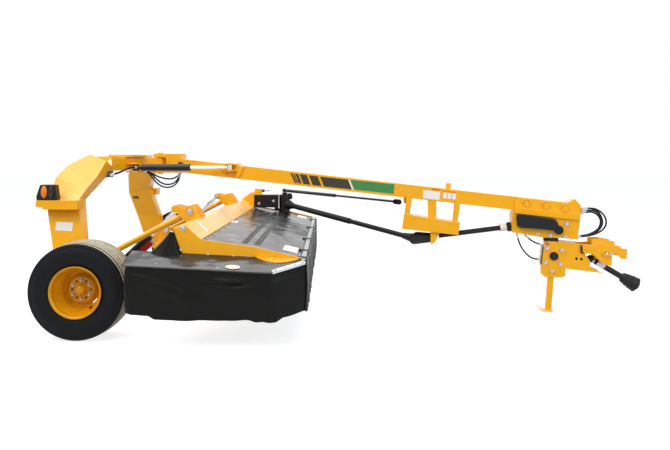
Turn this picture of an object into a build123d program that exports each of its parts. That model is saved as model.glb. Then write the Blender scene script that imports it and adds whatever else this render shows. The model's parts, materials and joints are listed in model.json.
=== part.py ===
from build123d import *
import math
import os

os.makedirs("parts", exist_ok=True)

# Towed disc mower, millimetres, +X forward to the hitch, +Y the machine's left, +Z up, ground at z = 0.
# x values are measured from a datum between header and hitch; frame_shift_x centres the whole.
frame_shift_x = -191.0

# wheels
axle_x = -2003.0
tyre_radius = 393.5
tyre_shoulder_radius = 385.0
tyre_width = 343.0
tyre_bead_radius = 196.5
tyre_bead_half_width = 140.0
tyre_bulge_radius = 290.0
tyre_tread_half_width = 145.0
tyre_crown_half_width = 70.0
wheel_centre_y = 1600.0
rim_seat_radius = 190.5
rim_flange_radius = 208.5
rim_flange_height_y = 168.0
rim_drop_radius = 152.0
rim_thickness = 7.0
rim_bolt_circle = 152.4
rim_bolt_count = 6
hub_face_offset = 33.0
hub_radius = 58.0
hub_cap_radius = 40.0
hub_cap_height = 46.0
spindle_radius = 30.0
spindle_clearance = 0.05
spindle_end_gap = 4.0
spindle_flange_radius = 62.0

# arch
crossbeam_rear_x = -2250.0
crossbeam_front_x = -2100.0
crossbeam_top_z = 1477.5
crossbeam_depth = 136.5
crossbeam_bottom_z = crossbeam_top_z - crossbeam_depth
valve_box_depth = 63.0
crossbeam_half_length = 700.0
leg_knee_z = crossbeam_top_z - 437.5
lamp_base_z = leg_knee_z + 50.0
lamp_lens_z = leg_knee_z + 122.0
axle_block_half_height = 85.0
axle_block_front = 95.0
axle_block_rear = 150.0
axle_block_inner_y = 1225.0
axle_block_outer_y = 1372.0

# tongue
pivot_x = -1830.0
tongue_yaw = -9.94
pivot_boss_radius = 46.0
pivot_pin_radius = 30.0
pivot_clearance = 0.05
pivot_boss_bottom_z = crossbeam_bottom_z + 5.0
pivot_boss_top_z = crossbeam_top_z - 1.5
pivot_lug_thickness = 34.0
pivot_face_gap = 2.0
tongue_start = 100.0
tongue_end = 4150.0
tongue_top_at_pivot = pivot_boss_top_z + 10.0
tongue_end_top_z = 1040.29
tongue_slope = (tongue_end_top_z - tongue_top_at_pivot) / tongue_end
tongue_depth_rear = 142.0
tongue_depth_front = 127.0
tongue_width = 150.0
stripe_thickness = 1.5
bracket_half_width = 95.0
bracket_wall = 10.0
bracket_strap = 12.0

# swing cylinder
swing_base_x = -2000.0
swing_base_y = -300.0
swing_eye_x = -1037.0
swing_eye_y = -260.0
swing_z = crossbeam_top_z - 109.5
swing_barrel_radius = 37.0
swing_rod_radius = 17.0
swing_pin_radius = 12.0
swing_eye_bore_radius = 21.5
swing_eye_radius = 32.0
swing_barrel_length = 560.0

# lift linkage, pins run along y
link_y = 1060.0
link_tube_radius = 27.0
link_front_x = -1248.0
link_front_z = 980.0
link_rear_x = -2040.0
link_rear_z = 567.0
link_pin_radius = 19.0
link_eye_radius = 42.0
link_eye_half_width = 30.0
lift_y = 925.0
lift_top_x = -1386.0
lift_top_z = 999.0
lift_base_x = -2000.0
lift_base_z = 420.0
lift_barrel_radius = 36.0
lift_barrel_length = 470.0
lift_rod_radius = 17.0
lift_pin_radius = 15.0
lift_eye_radius = 32.0
lift_eye_half_width = 22.0
lift_rod_eye_clearance = 2.3
pin_clearance = 0.05
cheek_gap = 1.0
cheek_thickness = 12.0

# header
header_half_width = 1755.0
end_plate_thickness = 10.0
beam_rear_x = -1234.0
beam_top_front_x = -1131.0
beam_front_x = -1013.0
beam_rear_top_z = 903.0
beam_top_z = 922.0
beam_step_z = 812.0
beam_bottom_z = 705.0
front_edge_x = -213.0
front_edge_z = 669.0
cover_thickness = 4.0
shield_overhang = 205.0
shield_half_width = header_half_width + shield_overhang
shield_rear_x = -1560.0
shield_corner_x = -430.0
shield_thickness = 6.0
shield_inner_z = 686.0
shield_outer_z = 607.0
shield_front_fall = 3.07
shield_middle_x = -870.0
curtain_thickness = 5.0
curtain_bottom_z = 250.0
curtain_front_x = -178.0
soft_gap = 0.3
disc_pitch = 368.0
blade_side_gap = 28.0
disc_x = -590.0
disc_z = 352.0
disc_radius_long = 172.0
disc_radius_short = 128.0
disc_thickness = 9.0
blade_tip_radius = 245.0
disc_span = 2 * (header_half_width - end_plate_thickness - blade_side_gap - blade_tip_radius)
disc_count = 1 + int(disc_span / disc_pitch + 0.000001)
blade_width = 46.0
blade_thickness = 4.0
spindle_bore_clearance = 0.3
disc_spindle_radius = 20.0
cutterbar_top_z = 326.0
cutterbar_bottom_z = 262.0
cutterbar_rear_x = -760.0
cutterbar_front_x = -500.0

# drive
head_x = -600.0
head_inset = 182.0
head_y = header_half_width - head_inset
head_z = 862.0
head_radius = 74.0
column_radius = 60.0
joint_local_x = 2730.0
joint_z = 655.0
guard_outer_radius = 34.0
guard_running_gap = 0.3
guard_inner_radius = 27.0
guard_outer_start = 118.0
guard_outer_end = 1450.0
guard_inner_start = 1052.0
guard_inner_end_gap = 80.0
bell_front_gap = 20.0
bell_rear_gap = 160.0
bell_front_radius = 48.0
bell_rear_radius = 31.0
bell_wall = 4.0
cover_mouth_x = 2756.0
cover_rear_radius = 71.0
cover_front_radius = 47.0
guide_z = 1040.0
guide_end_x = 2617.0
guide_end_y = -38.0
guide_end_z = 1020.0
guide_tube_radius = 20.0
guide_ball_radius = 22.0
guide_tube_length = 1230.0
guide_rod_radius = 12.0
guide_rod_start = 860.0
guide_boot_gap = 66.0
guide_boot_length = 72.0
front_guard_radius = 25.0

# hitch
swivel_local_x = 4037.0
swivel_z = 655.0
swivel_radius = 68.0
swivel_top_z = 702.0
swivel_seat_start = 3960.0
swivel_seat_end = 4112.0
coupler_pivot_x = 4335.0
coupler_pivot_z = 604.0
coupler_pivot_radius = 12.0
coupler_bore_x = 4510.0
coupler_bore_z = 572.0
coupler_bore_radius = 19.0
stand_pin_x = 4026.0
stand_pin_z = 391.0
stand_pin_radius = 8.0
stand_y = -59.0
stand_half_width = 21.0
stand_side_gap = 1.0
pto_x = 4400.0
pto_z = 500.0
pto_ball_radius = 36.0

# hoses
hose_radius = 8.0
thick_hose_radius = 10.0

tongue_frame = Location((pivot_x, 0, 0), (0, 0, tongue_yaw))


def box(x0, x1, y0, y1, z0, z1):
    size = (abs(x1 - x0), abs(y1 - y0), abs(z1 - z0))
    return Pos((x0 + x1) / 2, (y0 + y1) / 2, (z0 + z1) / 2) * Box(*size)


def rod(radius, start, end):
    a = Vector(*start)
    b = Vector(*end)
    return Solid.make_cylinder(radius, (b - a).length, Plane(origin=a, z_dir=(b - a).normalized()))


def cone(radius_a, radius_b, start, end):
    a = Vector(*start)
    b = Vector(*end)
    return Solid.make_cone(radius_a, radius_b, (b - a).length, Plane(origin=a, z_dir=(b - a).normalized()))


def pipe(outer, inner, start, end):
    a = Vector(*start)
    b = Vector(*end)
    step = (b - a).normalized() * 5
    return rod(outer, start, end) - rod(inner, (a - step), (b + step))


def slab(points, direction):
    wire = Wire.make_polygon([Vector(*p) for p in points], close=True)
    return Solid.extrude(Face(wire), Vector(*direction))


def side_slab(points, y0, y1):
    return slab([(x, y0, z) for x, z in points], (0, y1 - y0, 0))


def flat_slab(points, z0, z1):
    return slab([(x, y, z0) for x, y in points], (0, 0, z1 - z0))


def ruled(sections):
    faces = [Face(Wire.make_polygon([Vector(*p) for p in s], close=True)) for s in sections]
    return Solid.make_loft([f.outer_wire() for f in faces], ruled=True)


def whole(pieces):
    body = pieces[0]
    for piece in pieces[1:]:
        body = body + piece
    return body


def flip(shape):
    return shape.mirror(Plane.XZ)


def save(name, pieces):
    solids = []
    for piece in pieces:
        solids.extend(piece.solids())
    moved = [s.moved(Location((frame_shift_x, 0, 0))) for s in solids]
    shape = moved[0] if len(moved) == 1 else Compound(children=moved)
    shape.label = name
    export_step(shape, "parts/" + name + ".step")


def hose(name, points, radius):
    # straight runs joined by tangent arcs, each arc as large as its two runs allow
    p = [Vector(*q) for q in points]
    edges = []
    radii = []
    start = p[0]
    for i in range(1, len(p) - 1):
        before = p[i] - p[i - 1]
        after = p[i + 1] - p[i]
        shorter = min(before.length, after.length)
        a = before.normalized()
        b = after.normalized()
        half_turn = math.radians(before.get_angle(after)) / 2
        reach = 0.45 * shorter
        radii.append(reach / math.tan(half_turn))
        near = p[i] - a * reach
        far = p[i] + b * reach
        edges.append(Edge.make_line(start, near))
        edges.append(Edge.make_tangent_arc(near, a, far))
        start = far
    edges.append(Edge.make_line(start, p[-1]))
    path = Wire(edges)
    ring = Face(Wire.make_circle(radius, Plane(origin=p[0], z_dir=(p[1] - p[0]).normalized())))
    tube = Solid.sweep(ring, path)
    ideal = math.pi * radius * radius * path.length
    print(name, "length", round(path.length), "volume share", round(tube.volume / ideal, 4))
    print("  radii", [round(r) for r in radii])
    return tube


# wheels
def spin_profile(points, arcs):
    edges = []
    count = len(points)
    for i in range(count):
        a = points[i]
        b = points[(i + 1) % count]
        start = Vector(a[1], a[0], 0)
        end = Vector(b[1], b[0], 0)
        if i in arcs:
            mid = Vector(arcs[i][1], arcs[i][0], 0)
            edges.append(Edge.make_three_point_arc(start, mid, end))
        else:
            edges.append(Edge.make_line(start, end))
    face = Face(Wire(edges))
    return Solid.revolve(face, 360, Axis.Y)


def make_tyre():
    half = tyre_width / 2
    right = [
        (tyre_bead_half_width, tyre_bead_radius), (half, tyre_bulge_radius),
        (half - 16, tyre_shoulder_radius - 18),
        (tyre_tread_half_width, tyre_shoulder_radius), (tyre_crown_half_width, tyre_radius),
    ]
    left = [(-w, r) for w, r in reversed(right)]
    return spin_profile(right + left, {})


def make_rim(side):
    # o is measured outward from the wheel's centre plane
    w = rim_flange_height_y
    seat = rim_seat_radius
    drop = rim_drop_radius
    t = rim_thickness
    barrel = [
        (-w, rim_flange_radius), (-w + 14, seat + 5.5), (-w + 44, seat + 5.5), (-50, drop + t),
        (40, drop + t),
        (w - 44, seat + 5.5), (w - 14, seat + 5.5), (w - t, rim_flange_radius), (w, rim_flange_radius),
        (w, rim_flange_radius - t), (w - 12, seat - 1.5), (w - 42, seat - 1.5), (43, drop), (-53, drop),
        (-w + 12, seat - 1.5),
    ]
    f = hub_face_offset
    disc = [
        (f - 12, 40.0), (f - 12, 104.0), (f - 36, 128.0), (f - 36, drop + 1), (f - 26, drop + 1),
        (f - 26, 131.0),
        (f, 108.0), (f, 40.0),
    ]
    flip_o = -side
    body = spin_profile([(-flip_o * o, r) for o, r in barrel], {})
    body = body + spin_profile([(-flip_o * o, r) for o, r in disc], {})
    hub = [
        (-96.0, spindle_radius + spindle_clearance), (-96.0, hub_radius), (f + 8, hub_radius),
        (f + 8, hub_cap_radius),
        (f + 8 + hub_cap_height * 0.6, hub_cap_radius - 3), (f + 8 + hub_cap_height, hub_cap_radius - 18),
        (f + 8 + hub_cap_height, 0.0), (spindle_end_gap, 0.0),
        (spindle_end_gap, spindle_radius + spindle_clearance),
    ]
    body = body + spin_profile([(-flip_o * o, r) for o, r in hub], {})
    for i in range(rim_bolt_count):
        angle = math.radians(30 + 60 * i)
        x = math.cos(angle) * rim_bolt_circle / 2
        z = math.sin(angle) * rim_bolt_circle / 2
        body = body + rod(11, (x, side * (f - 4), z), (x, side * (f + 22), z))
    for i in range(rim_bolt_count):
        angle = math.radians(60 * i)
        x = math.cos(angle) * rim_bolt_circle / 2
        z = math.sin(angle) * rim_bolt_circle / 2
        body = body - rod(7, (x, side * (f - 20), z), (x, side * (f + 5), z))
    for i in range(4):
        angle = 45 + 90 * i
        slot = Pos(0, side * (f - 31), 0) * Rot(0, angle, 0) * Pos(139, 0, 0) * Box(9, 40, 52)
        body = body - slot
    valve_angle = math.radians(-50)
    vx = math.cos(valve_angle)
    vz = math.sin(valve_angle)
    body = body + rod(5, (vx * 160, side * 58, vz * 160), (vx * 150, side * 112, vz * 150))
    body = body + rod(8, (vx * 164, side * 52, vz * 164), (vx * 157, side * 72, vz * 157))
    return body


tyre = make_tyre()
for side, word in ((-1, "right"), (1, "left")):
    place = Location((axle_x, side * wheel_centre_y, tyre_radius))
    save("tyre_" + word, [tyre.moved(place)])
    save("rim_" + word, [make_rim(side).moved(place)])

# arch
# four corners of a leg section: outer rear, outer front, inner front, inner rear
leg_sections = [
    ((-2318, -1315, 318), (282, 0, 0), (0, 100, 0)),
    ((-2395, -1262, 560), (280, 0, 0), (0, 105, 0)),
    ((-2440, -1222, 750), (280, 0, 0), (0, 112, 0)),
    ((-2508, -1165, leg_knee_z), (258, 33, 34), (0, 176, 4)),
    ((-2478, -1052, crossbeam_top_z - 192.5), (268, 10, -110), (0, 176, -18)),
    ((-2412, -962, crossbeam_top_z - 83.5), (270, 22, -92), (0, 176, -34)),
    ((-2250, -852, crossbeam_top_z + 18.5), (150, 6, -62), (0, 176, -60)),
]


def make_leg():
    sections = []
    for corner, along, across in leg_sections:
        p = Vector(*corner)
        u = Vector(*along)
        v = Vector(*across)
        sections.append([p, (p + u), (p + u + v), (p + v)])
    leg = ruled(sections)
    block = box(
        axle_x - axle_block_rear,
        axle_x + axle_block_front,
        -axle_block_outer_y,
        -axle_block_inner_y,
        tyre_radius - axle_block_half_height,
        tyre_radius + axle_block_half_height,
    )
    return leg + block


def cheek_pairs():
    # inner and outer face of each cheek, on both sides of the cylinder's eye and of the link's eye
    lift_face = lift_eye_half_width + cheek_gap
    link_face = link_eye_half_width + cheek_gap
    return [
        (lift_y - lift_face - cheek_thickness, lift_y - lift_face),
        (lift_y + lift_face, lift_y + lift_face + cheek_thickness),
        (link_y - link_face - cheek_thickness, link_y - link_face),
        (link_y + link_face, link_y + link_face + cheek_thickness),
    ]


def lower_bracket():
    # stub beam with cheeks that carry the lower link pin and the lift cylinder pin
    stub_inner = lift_y - lift_eye_half_width - cheek_gap - cheek_thickness
    beam = box(axle_x - 165, axle_x - 62, -axle_block_inner_y - 8, -stub_inner, 318, 412)
    pieces = [beam]
    cheeks = cheek_pairs()
    lift_outline = [
        (axle_x - 165, 400),
        (lift_base_x - 45, lift_base_z + 28),
        (lift_base_x - 20, lift_base_z + 46),
        (lift_base_x + 20, lift_base_z + 46),
        (lift_base_x + 45, lift_base_z + 22),
        (lift_base_x + 45, lift_base_z - 20),
        (axle_x - 30, 330),
        (axle_x - 165, 330),
    ]
    link_outline = [
        (axle_x - 165, 330),
        (axle_x - 165, 430),
        (link_rear_x - 55, link_rear_z + 20),
        (link_rear_x - 28, link_rear_z + 52),
        (link_rear_x + 28, link_rear_z + 52),
        (link_rear_x + 52, link_rear_z + 26),
        (link_rear_x + 52, link_rear_z - 30),
        (axle_x - 10, 430),
        (axle_x - 10, 330),
    ]
    for i, (near, far) in enumerate(cheeks):
        outline = lift_outline if i < 2 else link_outline
        pieces.append(side_slab(outline, -far, -near))
    outer = axle_block_inner_y + 8
    pieces.append(rod(lift_pin_radius, (lift_base_x, -cheeks[1][1] - 8, lift_base_z),
                      (lift_base_x, -cheeks[0][0] + 8, lift_base_z)))
    pieces.append(rod(link_pin_radius, (link_rear_x, -cheeks[3][1] - 10, link_rear_z),
                      (link_rear_x, -cheeks[2][0] + 10, link_rear_z)))
    pieces.append(box(axle_x - 160, axle_x - 60, -outer, -cheeks[3][1], 400, 470))
    return whole(pieces)


def make_spindle():
    inner = -axle_block_outer_y
    stub = -wheel_centre_y + 102
    return whole([
        rod(spindle_flange_radius, (axle_x, inner, tyre_radius), (axle_x, inner - 22, tyre_radius)),
        rod(44, (axle_x, inner - 22, tyre_radius), (axle_x, stub, tyre_radius)),
        rod(spindle_radius, (axle_x, stub, tyre_radius), (axle_x, -wheel_centre_y, tyre_radius)),
    ])


def make_lamp_bracket():
    top = lamp_base_z
    arm = box(-2500, -2200, -1262, -1120, top - 80, top)
    arm = arm - box(-2490, -2210, -1250, -1190, top - 90, top - 8)
    tail = box(-2560, -2496, -1262, -1180, top - 60, top)
    return arm + tail


leg = make_leg() + lower_bracket() + make_spindle() + make_lamp_bracket()
save("arch_legs", [leg, flip(leg)])


def make_crossbeam():
    half = crossbeam_half_length
    pieces = [box(crossbeam_rear_x, crossbeam_front_x, -half, half, crossbeam_bottom_z, crossbeam_top_z)]
    # tapered pivot carrier that reaches forward from the beam
    pieces.append(flat_slab([
        (crossbeam_front_x, -360), (crossbeam_front_x + 22, -300), (pivot_x - 150, -120), (pivot_x, -62),
        (pivot_x, 62), (pivot_x - 150, 120), (crossbeam_front_x + 22, 300), (crossbeam_front_x, 360),
    ], pivot_boss_bottom_z + 10, pivot_boss_top_z - 14))
    pieces.append(flat_slab([
        (crossbeam_rear_x - 20, -330), (crossbeam_front_x + 70, -330), (pivot_x - 120, -110),
        (pivot_x - 120, 110), (crossbeam_front_x + 70, 330), (crossbeam_rear_x - 20, 330),
    ], crossbeam_top_z, crossbeam_top_z + 22))
    boss_radius = pivot_boss_radius + 16
    pieces.append(rod(boss_radius, (pivot_x, 0, pivot_boss_bottom_z), (pivot_x, 0, pivot_boss_top_z)))
    # clamp block that the hoses leave from
    pieces.append(box(-2010, -1975, -140, -36, pivot_boss_bottom_z - 28, pivot_boss_bottom_z + 12))
    body = whole(pieces)
    bore_radius = pivot_pin_radius + pivot_clearance
    body = body - rod(bore_radius, (pivot_x, 0, pivot_boss_bottom_z - 50), (pivot_x, 0, crossbeam_top_z + 50))
    # lug for the swing cylinder's base pin
    z0 = swing_z - 34
    z1 = swing_z + 34
    for low, high in ((z0 - 16, z0), (z1, z1 + 16)):
        lug = flat_slab([
            (swing_base_x - 100, swing_base_y + 60), (swing_base_x - 100, swing_base_y - 20),
            (swing_base_x - 20, swing_base_y - 36), (swing_base_x + 26, swing_base_y - 22),
            (swing_base_x + 30, swing_base_y + 20), (swing_base_x + 10, swing_base_y + 90),
        ], low, high)
        body = body + lug
    pin = rod(swing_pin_radius, (swing_base_x, swing_base_y, z0 - 16), (swing_base_x, swing_base_y, z1 + 16))
    return body + pin


legs = [leg, flip(leg)]
crossbeam = make_crossbeam() - legs[0] - legs[1]
save("crossbeam", [crossbeam])

valve_box = box(-2195, -2110, -760, -640, crossbeam_bottom_z - valve_box_depth, crossbeam_bottom_z)
save("valve_box", [valve_box - legs[0]])


def make_lamp():
    z = lamp_base_z
    return side_slab([(-2530, z), (-2536, z + 30), (-2500, z + 136), (-2370, z + 136), (-2352, z)], -1262,
                     -1180)


lamp = make_lamp()
save("rear_lamps", [lamp, flip(lamp)])
lens_a = Pos(-2462, -1262, lamp_lens_z) * Rot(90, 0, 0) * extrude(Ellipse(28, 54), 9)
lens_b = Pos(-2400, -1262, lamp_lens_z) * Rot(90, 0, 0) * extrude(Ellipse(24, 48), 7)
save("lamp_lenses", [lens_a, lens_b, flip(lens_a), flip(lens_b)])


# tongue
def tongue_top(x):
    return tongue_top_at_pivot + tongue_slope * x


def tongue_bottom(x):
    share = (x - tongue_start) / (tongue_end - tongue_start)
    return tongue_top(x) - tongue_depth_rear - (tongue_depth_front - tongue_depth_rear) * share


def on_tongue(shape):
    return shape.moved(tongue_frame)


def make_tongue():
    half = tongue_width / 2
    beam = side_slab([
        (tongue_start, tongue_bottom(tongue_start)), (tongue_start, tongue_top(tongue_start)),
        (tongue_end, tongue_top(tongue_end)), (tongue_end, tongue_bottom(tongue_end)),
    ], -half, half)
    top = pivot_boss_top_z + pivot_face_gap
    low = pivot_boss_bottom_z - pivot_face_gap
    pieces = [beam]
    for z0, z1 in ((top, top + pivot_lug_thickness), (low - pivot_lug_thickness, low)):
        pieces.append(flat_slab([(0, -half), (260, -half), (260, half), (0, half)], z0, z1))
        pieces.append(rod(half, (0, 0, z0), (0, 0, z1)))
    pieces.append(box(tongue_start, 260, -half, half, low - 10, top + 10))
    # flared plates behind and ahead of the swing cylinder's eye
    pieces.append(side_slab([
        (640, tongue_top(640)), (775, tongue_top(775)), (775, tongue_bottom(775)), (640, tongue_bottom(640)),
    ], -half - 14, -half))
    pieces.append(side_slab([
        (882, tongue_top(882)), (973, tongue_top(973) - 8), (913, tongue_bottom(913) + 10),
        (882, tongue_bottom(882)),
    ], -half - 14, -half))
    # small stop block on top and the lug that the guide rod ends at
    pieces.append(box(3041, 3089, -25, 25, tongue_bottom(3065) + 20, tongue_top(3065) + 57))
    pieces.append(box(2622, 2652, 52, 64, guide_end_z - 15, tongue_bottom(2637) + 20))
    body = whole(pieces)
    pin = rod(pivot_pin_radius, (0, 0, low - pivot_lug_thickness - 12),
              (0, 0, top + pivot_lug_thickness + 14))
    return body + pin


def make_swing_lug():
    inverse = tongue_frame.inverse()
    eye = (inverse * Pos(swing_eye_x, swing_eye_y, swing_z)).position
    half = tongue_width / 2
    pieces = []
    for low, high in ((swing_z - 40, swing_z - 26), (swing_z + 26, swing_z + 40)):
        pieces.append(flat_slab([
            (eye.X - 100, -half), (eye.X - 34, eye.Y - 20), (eye.X, eye.Y - 34), (eye.X + 34, eye.Y - 20),
            (eye.X + 60, eye.Y + 10), (eye.X + 110, -half),
        ], low, high))
    pieces.append(rod(swing_pin_radius, (eye.X, eye.Y, swing_z - 48), (eye.X, eye.Y, swing_z + 48)))
    return whole(pieces)


def make_mid_bracket():
    half = bracket_half_width
    wall = bracket_wall
    side = tongue_width / 2
    pieces = [side_slab([(2631, 907), (3175, 828), (3173, 818), (2629, 897)], -half, half)]
    pieces.append(side_slab([(2631, 907), (3175, 828), (3158, 710), (2611, 760)], -half, -half + wall))
    pieces.append(side_slab([
        (2631, 907), (3175, 828), (3158, 710), (2900, 733), (2800, 822), (2621, 840),
    ], half - wall, half))
    for y0, y1 in ((-side - bracket_strap, -side), (side, side + bracket_strap)):
        for x in (2660, 3132):
            low = 900 - (x - 2660) * 0.14
            pieces.append(side_slab([
                (x, tongue_bottom(x) + 30), (x + 46, tongue_bottom(x + 46) + 30), (x + 22, low - 5),
                (x - 26, low),
            ], y0, y1))
    pieces.append(side_slab([
        (2862, tongue_bottom(2862)), (2948, tongue_bottom(2948)), (2948, 858), (2866, 868),
    ], -side + 4, side - 4))
    # hanger that carries the drive line's middle bearing
    pieces.append(side_slab([(2888, 866), (2962, 855), (2985, 735), (2938, 632), (2892, 603)], -70, 70))
    return whole(pieces)


tongue = make_tongue() + make_swing_lug()
mid_bracket = make_mid_bracket()
save("tongue", [on_tongue(tongue)])
save("mid_bracket", [on_tongue(mid_bracket)])


def stripe(x0, x1, lean, z_low, z_high):
    half = tongue_width / 2
    points = [
        (x0, tongue_top(x0) + z_low), (x1, tongue_top(x1) + z_low),
        (x1 - lean, tongue_top(x1 - lean) + z_high), (x0 - lean, tongue_top(x0 - lean) + z_high),
    ]
    near = side_slab(points, -half - stripe_thickness, -half)
    far = side_slab(points, half, half + stripe_thickness)
    return [near, far]


stripe_starts = (1478, 1610, 1742, 1874, 2006)
stripes = []
for start in stripe_starts:
    stripes.extend(stripe(start, start + 92, 66, -112, -14))
save("tongue_stripes", [on_tongue(s) for s in stripes])
panels = stripe(2128, 2540, 50, -112, -14)
save("tongue_panels", [on_tongue(s) for s in panels])


port_x = 4312.0
hitch_ports = [(-58.0, 984.0), (-22.0, 958.0), (14.0, 934.0), (50.0, 972.0)]


def make_head():
    outline = [
        (3663, 905), (3688, 984), (3700, tongue_top(3700)), (4150, tongue_top(4150)), (4183, 1041),
        (4238, 1075),
        (4290, 1018), (4284, 860), (4262, 690), (swivel_seat_end, swivel_top_z),
        (swivel_seat_start, swivel_top_z),
        (3665, 747),
    ]
    body = side_slab(outline, -92, 92)
    lip = side_slab([(3685, 934), (4284, 875), (4284, 932), (3688, 984)], -112, 112)
    body = body + lip
    for x, z in ((4164, 838), (4016, 725), (4150, 716), (4200, 770)):
        body = body + rod(11, (x, -100, z), (x, 100, z))
    for x, z in ((3803, 1029), (3978, 1011), (4153, 991)):
        body = body + rod(24, (x, -99, z), (x, 99, z))
    # ports that the front hoses leave from
    for port_y, port_z in hitch_ports:
        body = body + rod(12, (4270, port_y, port_z), (port_x, port_y, port_z))
    return body


def make_head_black():
    canister = side_slab([(3700, 905), (3730, 926), (4062, 882), (4085, 826), (4052, 776), (3712, 800)],
                         -150, -92)
    hub = rod(38, (4090, -118, 779), (4090, -92, 779))
    return canister + hub


save("hitch_head", [on_tongue(make_head() - tongue)])
save("drive_case", [on_tongue(make_head_black())])

# front drive guard and boot, along the underside of the tongue
guard = rod(front_guard_radius, (2970, 0, 690), (3560, 0, 778))
collar = rod(34, (3560, 0, 778), (3630, 0, 788))
neck = rod(46, (3630, 0, 788), (3664, 0, 793))
front_guard = whole([guard, collar, neck]) - tongue - mid_bracket - make_head()


def drive_direction():
    joint = (tongue_frame * Pos(joint_local_x, 0, joint_z)).position
    head = Vector(head_x, head_y, head_z)
    return joint, head, (joint - head).normalized()


joint, head, drive_dir = drive_direction()
flat_dir = Vector(drive_dir.X, drive_dir.Y, 0).normalized()


def make_joint_cover():
    # fixed bell over the middle joint, its mouth square to the rear drive line
    outer = cone(cover_rear_radius, cover_front_radius, (2680, 0, 659), (2900, 0, 668))
    inner = cone(cover_rear_radius - bell_wall, cover_front_radius - bell_wall, (2680, 0, 659),
                 (2880, 0, 667))
    along = drive_dir.rotate(Axis.Z, -tongue_yaw)
    mouth = Plane(origin=(cover_mouth_x, 0, 660), z_dir=along)
    behind = mouth.location * Pos(0, 0, -150) * Box(500, 500, 300)
    return outer - inner - behind - mid_bracket


save("drive_covers", [on_tongue(make_joint_cover()), on_tongue(front_guard)])

# swing cylinder
base = Vector(swing_base_x, swing_base_y, swing_z)
eye = Vector(swing_eye_x, swing_eye_y, swing_z)
axis = (eye - base).normalized()
barrel = pipe(swing_barrel_radius, swing_rod_radius + 1.0, (base + axis * 80),
              (base + axis * swing_barrel_length))
barrel = barrel + rod(swing_barrel_radius, (base + axis * 60), (base + axis * 80))
lug = rod(30, (base.X, base.Y, swing_z - 32), (base.X, base.Y, swing_z + 32))
lug = lug - rod(swing_pin_radius + pin_clearance, (base.X, base.Y, swing_z - 40),
                (base.X, base.Y, swing_z + 40))
shank = rod(24, (base + axis * 20), (base + axis * 62))
barrel = barrel + (lug + shank) - rod(swing_pin_radius + pin_clearance, (base.X, base.Y, swing_z - 40),
                                      (base.X, base.Y, swing_z + 40))
save("swing_barrel", [barrel])
swing_rod = rod(swing_rod_radius, (base + axis * 150), (eye - axis * 26))
swing_rod = swing_rod + rod(swing_eye_radius, (eye.X, eye.Y, swing_z - 24), (eye.X, eye.Y, swing_z + 24))
swing_rod = swing_rod - rod(swing_eye_bore_radius, (eye.X, eye.Y, swing_z - 40), (eye.X, eye.Y, swing_z + 40))
save("swing_rod", [swing_rod])


# lift linkage
def make_link():
    a = Vector(link_rear_x, -link_y, link_rear_z)
    b = Vector(link_front_x, -link_y, link_front_z)
    d = (b - a).normalized()
    body = rod(link_tube_radius, (a + d * 30), (b - d * 30))
    for p in (a, b):
        body = body + rod(link_eye_radius, (p.X, p.Y - link_eye_half_width, p.Z),
                          (p.X, p.Y + link_eye_half_width, p.Z))
    for p in (a, b):
        body = body - rod(link_pin_radius + pin_clearance, (p.X, p.Y - 60, p.Z), (p.X, p.Y + 60, p.Z))
    return body


link = make_link()
save("lift_links", [link, flip(link)])


def make_lift_cylinder():
    a = Vector(lift_base_x, -lift_y, lift_base_z)
    b = Vector(lift_top_x, -lift_y, lift_top_z)
    d = (b - a).normalized()
    start = a + d * 78
    end = a + d * lift_barrel_length
    barrel = rod(lift_barrel_radius, start, end)
    barrel = barrel + rod(20, (a + d * 20), start)
    barrel = barrel + rod(lift_eye_radius, (a.X, a.Y - lift_eye_half_width, a.Z),
                          (a.X, a.Y + lift_eye_half_width, a.Z))
    barrel = barrel - rod(lift_pin_radius + pin_clearance, (a.X, a.Y - 60, a.Z), (a.X, a.Y + 60, a.Z))
    barrel = barrel - rod(lift_rod_radius + 1.0, (a + d * 70), (end + d * 10))
    stem = rod(lift_rod_radius, (a + d * 170), (b - d * 20))
    stem = stem + rod(28, (b - d * 160), (b - d * 80))
    stem = stem + rod(lift_eye_radius, (b.X, b.Y - lift_eye_half_width, b.Z),
                      (b.X, b.Y + lift_eye_half_width, b.Z))
    stem = stem - rod(lift_pin_radius + lift_rod_eye_clearance, (b.X, b.Y - 60, b.Z), (b.X, b.Y + 60, b.Z))
    # lock valve under the barrel
    n = Vector(d.Z, 0, -d.X)
    corners = [a + d * 300 + n * 30, a + d * 440 + n * 30, a + d * 440 + n * 80, a + d * 330 + n * 80]
    valve = slab([c - Vector(0, 30, 0) for c in corners], (0, 60, 0)) - rod(lift_barrel_radius, start, end)
    return barrel, stem, valve


lift_barrel, lift_stem, lock_valve = make_lift_cylinder()
save("lock_valves", [lock_valve, flip(lock_valve)])
save("lift_barrels", [lift_barrel, flip(lift_barrel)])
save("lift_rods", [lift_stem, flip(lift_stem)])


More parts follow.
